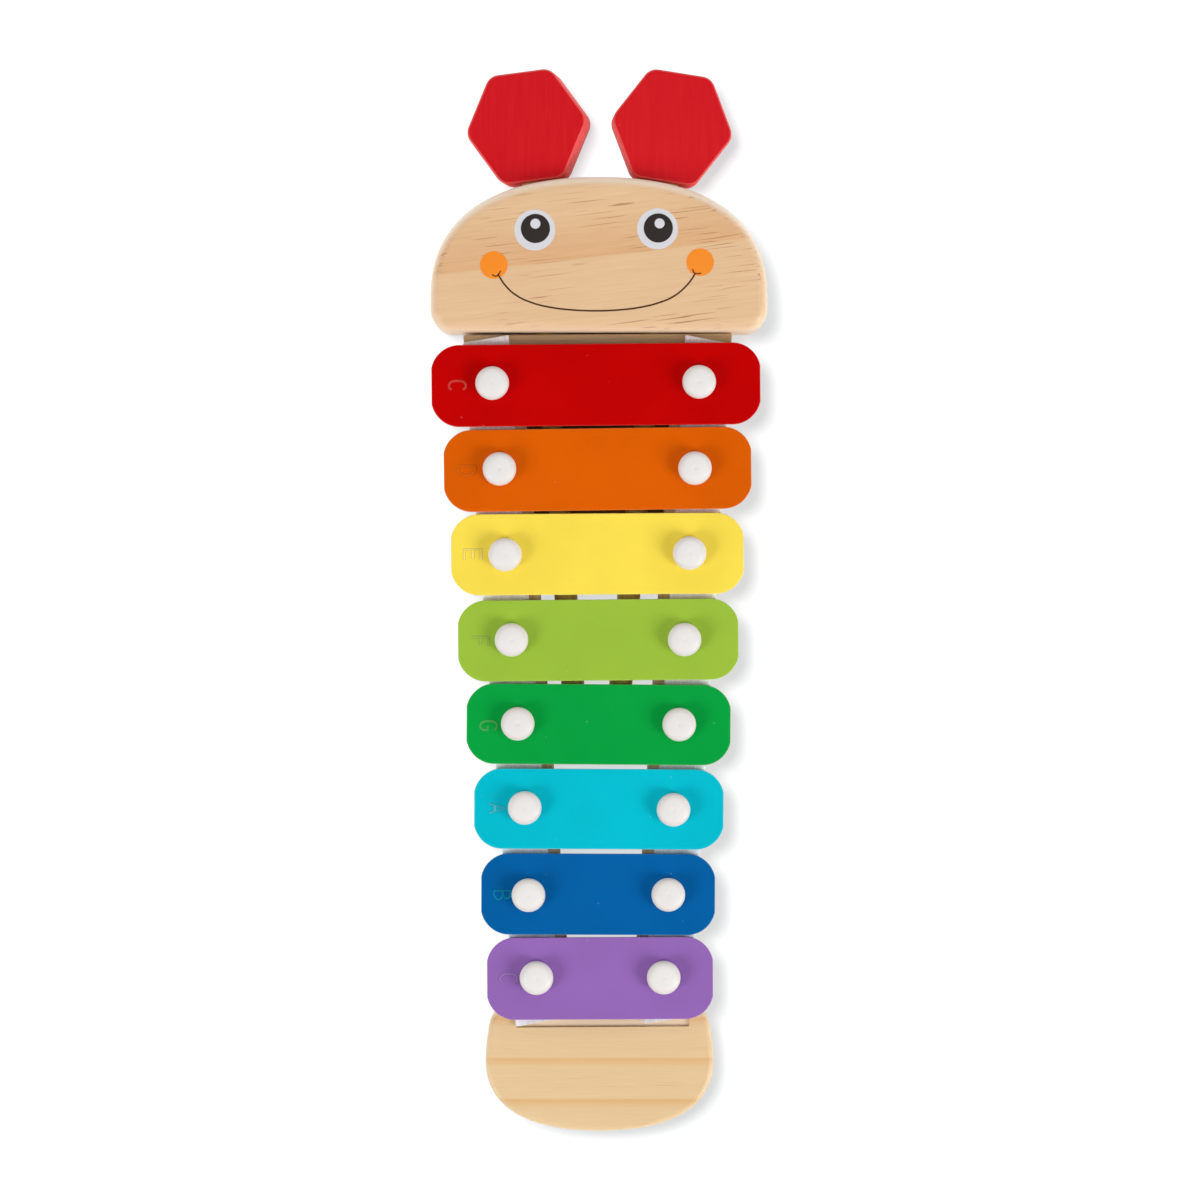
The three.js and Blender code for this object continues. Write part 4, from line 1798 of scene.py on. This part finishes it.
@dataclass
class Mallet:
    """One mallet: a hexagonal head on a round stick."""

    axis: MalletAxis
    turn_degrees: float
    width: float = 0.0394
    length: float = 0.0403
    thickness: float = 0.018
    corner: float = 0.0054
    ease: float = 0.0009
    stick_radius: float = 0.00425
    stick_chamfer: float = 0.0005
    bore_gap: float = 0.0003
    bore_start: float = -0.01
    sides: int = 6

    def outline(self) -> Outline:
        """The hexagon with rounded corners.

        Returns:
            The outline, whose rear flat is at the origin.
        """
        half_side = math.pi / self.sides
        reach = self.width / 2 / math.cos(half_side)
        cut = self.corner * math.tan(half_side)
        full = 4 / 3 * math.tan(half_side / 2) / math.tan(half_side)
        turn = Matrix.Rotation(math.radians(-self.axis.side.sign * self.turn_degrees), 2)
        middle = Vector((0, self.length / 2))

        def placed(point: Vector) -> Point:
            """A point of the plain hexagon, lengthened, turned and set on the stick."""
            longer = Vector((point.x, point.y * self.length / self.width))
            return tuple(turn @ longer + middle)

        angles = [2 * half_side * i for i in range(self.sides)]
        corners = [Vector((reach * math.cos(a), reach * math.sin(a))) for a in angles]
        outline = Outline()
        for i, tip in enumerate(corners):
            before = tip + (corners[i - 1] - tip).normalized() * cut
            after = tip + (corners[(i + 1) % self.sides] - tip).normalized() * cut
            outline.to(*placed(before)).bend(placed(tip), placed(after), full)
        return outline

    def stick(self) -> Object:
        """The stick, turned to a rounded tip.

        Returns:
            The stick, in place.
        """
        axis, radius, chamfer = self.axis, self.stick_radius, self.stick_chamfer
        way, origin, tip = axis.direction, axis.origin, axis.stick_in_head
        tail = min((point - origin).dot(way) for point in axis.stick_points)
        profile = lower_quarter((0, tail + radius), radius, steps=10)
        profile += [(radius, tip - chamfer), (radius - chamfer, tip), (0, tip)]
        stick = turned(f"turned_stick_{axis.side.value}", profile, steps=40)
        return smooth(settle(stick, axis.matrix @ Matrix.Rotation(-math.pi / 2, 4, "X")))

    def build(self, shop: Workshop) -> None:
        """Makes the head and the stick.

        Args:
            shop: The workshop.
        """
        side, half = self.axis.side.value, self.thickness / 2
        block = board(f"lacquered_head_{side}", self.outline(), -half, half, fineness=8)
        ease_rims(block, self.ease, steps=4)
        bottom = self.axis.stick_in_head + self.bore_gap
        carve(block, [rod("bore", self.stick_radius + self.bore_gap,
                          Vector((0, self.bore_start, 0)), Vector((0, bottom, 0)), sides=48)])
        settle(block, self.axis.matrix)
        shop.place(smooth(block), f"mallet_{side}", MALLET_LACQUER, f"mallet_head_{side}")
        shop.place(self.stick(), f"mallet_{side}", STICK_WOOD, f"mallet_stick_{side}")


@dataclass
class Bars:
    """The row of eight bars."""

    pitch: float = 0.0311
    first_row: float = 0.0785554
    low: float = 0.0241
    row_shift: float = -0.00075
    pin_outset: float = 0.0006
    hole_radius: float = 0.0035
    bars: tuple[Bar, ...] = (
        Bar(Note.C_LOW, 0.12045, 0.15, enamel(
            "red", (0.539, 0.0002, 0.0003), (0.66, 0.06, 0.05), (0.61, 0.05, 0.04)),
            0.0095, -0.0002, (0.0, 0.0003), 0.0300),
        Bar(Note.D, 0.11260, 0.35, enamel(
            "orange", (0.723, 0.112, 0.0003), (0.78, 0.24, 0.05), (0.70, 0.120, 0.005)),
            0.0083, -0.0002, (0.0004, 0.0004), 0.0300),
        Bar(Note.E, 0.10710, 0.0, enamel(
            "yellow", (0.965, 0.745, 0.080), (0.95, 0.78, 0.22), (0.98, 0.78, 0.18)),
            0.0079, -0.0001, (0.0001, 0.0005)),
        Bar(Note.F, 0.10265, 0.1, enamel(
            "lime", (0.332, 0.527, 0.048), (0.46, 0.62, 0.16), (0.34, 0.52, 0.09)),
            0.0081, 0.0002, (0.0002, 0.0001)),
        Bar(Note.G, 0.09665, -0.8, enamel(
            "green", (0.0015, 0.352, 0.050), (0.14, 0.42, 0.12), (0.06, 0.385, 0.08)),
            0.0081, 0.0007, (0.0001, 0.0003), 0.0294),
        Bar(Note.A, 0.09130, -0.7, enamel(
            "turquoise", (0.0004, 0.509, 0.631), (0.22, 0.62, 0.70), (0.09, 0.53, 0.63)),
            0.0086, -0.0001, (0.0, 0.0004), 0.0294),
        Bar(Note.B, 0.08560, -0.6, enamel(
            "blue", (0.0004, 0.114, 0.366), (0.06, 0.23, 0.48), (0.003, 0.20, 0.39)),
            0.0078, 0.0004, (-0.0005, 0.0003)),
        Bar(Note.C_HIGH, 0.08270, -0.1, enamel(
            "purple", (0.296, 0.138, 0.462), (0.42, 0.24, 0.58), (0.34, 0.18, 0.48)),
            0.0079, -0.0002, (0.0, 0.0006), 0.0301),
    )  # length, turn, enamel, the letter's inset and drop, slide, and a width of its own

    def build(self, shop: Workshop, held: Frame) -> None:
        """Makes every bar in its row.

        Args:
            shop: The workshop.
            held: The frame that the rows follow.
        """
        for row, bar in enumerate(self.bars):
            y = self.first_row - self.pitch * row
            across, along = bar.slide
            place = (held.matrix
                     @ Matrix.Translation((self.row_shift + across, y + along, self.low))
                     @ Matrix.Rotation(math.radians(bar.turn_degrees), 4, "Z"))
            bar.build(shop, place, held.rail_middle(y) + self.pin_outset, self.hole_radius)


# The studio


class Lights(Enum):
    """What a lamp shines on."""

    TOY = "EXCLUDE"
    TABLE = "INCLUDE"


@dataclass
class Softbox:
    """One soft lamp, aimed at the middle of the toy."""

    name: str
    azimuth: float  # degrees, from -Y towards +X
    elevation: float
    distance: float
    size: float
    share: float  # of the light that a flat white sheet needs to look white
    lights: Lights
    mirrored: bool = True

    def place(self, table: Object) -> None:
        """Hangs the lamp and points it at the toy or the table alone.

        Args:
            table: The table.
        """
        a, e = math.radians(self.azimuth), math.radians(self.elevation)
        way = Vector((math.sin(a) * math.cos(e), -math.cos(a) * math.cos(e), math.sin(e)))
        deselect_all()
        bpy.ops.object.light_add(type="AREA", location=way * self.distance)
        lamp = fresh(self.name)
        lamp.rotation_euler = way.to_track_quat("Z", "Y").to_euler()
        lamp.data.shape = "SQUARE"
        lamp.data.size = self.size
        lamp.data.energy = self.share * 4 * math.pi * self.distance ** 2 / math.sin(e)
        reach = bpy.data.collections.new(f"{self.name}_reach")
        reach.objects.link(table)
        reach.collection_objects[0].light_linking.link_state = self.lights.value
        lamp.light_linking.receiver_collection = reach
        lamp.visible_glossy = self.mirrored


@dataclass
class Studio:
    """A white table, soft light and a camera straight above."""

    camera_place: Triple = (0.0004, 0.0, 1.8)
    camera_reach: Point = (0.05, 20)
    view_width: float = 0.4458
    sensor: float = 36.0
    table_size: float = 6.0
    table_depth: float = 0.0002  # how far under the toy it lies
    table_grey: Colour = (0.2, 0.2, 0.2)
    table_lift: float = 0.64  # how bright the camera sees the table near the toy, unlit
    far_lift: float = 1.0  # and well away from it
    lift_reach: Point = (0.3, 1.4)  # the distances between which that changes
    table_bounce: float = 0.55  # what the toy gets from it
    table_glow: Colour = (0.962, 0.992, 1.012)
    room_light: float = 0.62
    room_zenith: float = 0.02
    room_rise: Point = (0.45, 0.8)  # the heights between which the room darkens
    far_side: float = 0.80  # how much more light comes from beyond the head
    lamps: tuple[Softbox, ...] = (
        Softbox("lamp_lower_left", -60, 34, 5.0, 2.1, 0.205, Lights.TOY),
        Softbox("lamp_lower_right", 61, 32, 5.0, 2.3, 0.275, Lights.TOY),
        Softbox("lamp_overhead", 0, 86, 5.0, 1.2, 0.15, Lights.TOY, False),
        Softbox("lamp_on_table", -128, 76.0, 3.0, 0.8, 1.7, Lights.TABLE),
    )

    def table(self) -> Object:
        """Lays the white table, which glows enough for its shadows to be pale.

        Returns:
            The table.
        """
        deselect_all()
        bpy.ops.mesh.primitive_plane_add(size=self.table_size, location=(0, 0, -self.table_depth))
        top = fresh("white_table")
        with editing(top):
            bpy.ops.mesh.subdivide(number_cuts=3)
        material = bpy.data.materials.new("white_table")
        material.use_nodes = True
        nodes = Nodes(material.node_tree)
        shader = nodes.fill(nodes.tree.nodes["Principled BSDF"], Base_Color=self.table_grey,
                            Roughness=0.9, Specular_IOR_Level=0.1)
        away = nodes.length(nodes.add("TexCoord").outputs["Object"])
        lift = nodes.ramp(away, *self.lift_reach, self.table_lift - self.table_bounce,
                          self.far_lift - self.table_bounce)
        extra = nodes.times(nodes.add("LightPath").outputs["Is Camera Ray"], lift)
        glow = nodes.fill(nodes.add("Emission"), Color=self.table_glow,
                          Strength=nodes.plus(extra, self.table_bounce))
        both = nodes.through("AddShader", shader.outputs[0], glow.outputs[0])
        nodes.fill(nodes.tree.nodes["Material Output"], Surface=both)
        top.data.materials.append(material)
        return top

    def world(self) -> None:
        """A pale room, darker overhead, that the camera sees as white."""
        world = bpy.context.scene.world = bpy.data.worlds.new("pale_room")
        world.use_nodes = True
        nodes = Nodes(world.node_tree)
        _, away, up = nodes.split(nodes.add("TexCoord").outputs["Generated"])
        light = nodes.ramp(up, *self.room_rise, self.room_light, self.room_zenith)
        light = nodes.times(light, nodes.plus(1.0, nodes.times(away, self.far_side)))
        seen = nodes.add("LightPath").outputs["Is Camera Ray"]
        nodes.fill(nodes.tree.nodes["Background"], Color=(1, 1, 1),
                   Strength=nodes.math("MAXIMUM", light, seen))

    def camera(self) -> None:
        """Hangs the camera straight above the toy."""
        deselect_all()
        bpy.ops.object.camera_add(location=self.camera_place, rotation=(0, 0, 0))
        camera = fresh("product_camera")
        camera.data.sensor_width = self.sensor
        camera.data.lens = self.sensor * self.camera_place[2] / self.view_width
        camera.data.clip_start, camera.data.clip_end = self.camera_reach
        bpy.context.scene.camera = camera

    def build(self) -> None:
        """Sets up the whole studio."""
        table = self.table()
        self.world()
        for lamp in self.lamps:
            lamp.place(table)
        self.camera()
        bpy.context.scene.view_settings.view_transform = "Standard"


def main() -> None:
    """Builds the studio and every sub-assembly."""
    logging.basicConfig(level=logging.INFO, format="%(name)s: %(message)s")
    deselect_all()
    shop = Workshop()
    Studio().build()
    axes = [MalletAxis(Side.LEFT, roll_degrees=6.5), MalletAxis(Side.RIGHT, roll_degrees=2.5)]
    held, row = Frame(), PinRow()
    Head().build(shop, axes)
    held.build(shop, axes)
    Tail().build(shop, held)
    Felts().build(shop, held, row)
    Bars().build(shop, held)
    Pins().build(shop, row)
    Mallet(axes[0], turn_degrees=2.3).build(shop)
    Mallet(axes[1], turn_degrees=3.6).build(shop)
    log.info("%d pieces", shop.made)


if __name__ == "__main__":
    main()
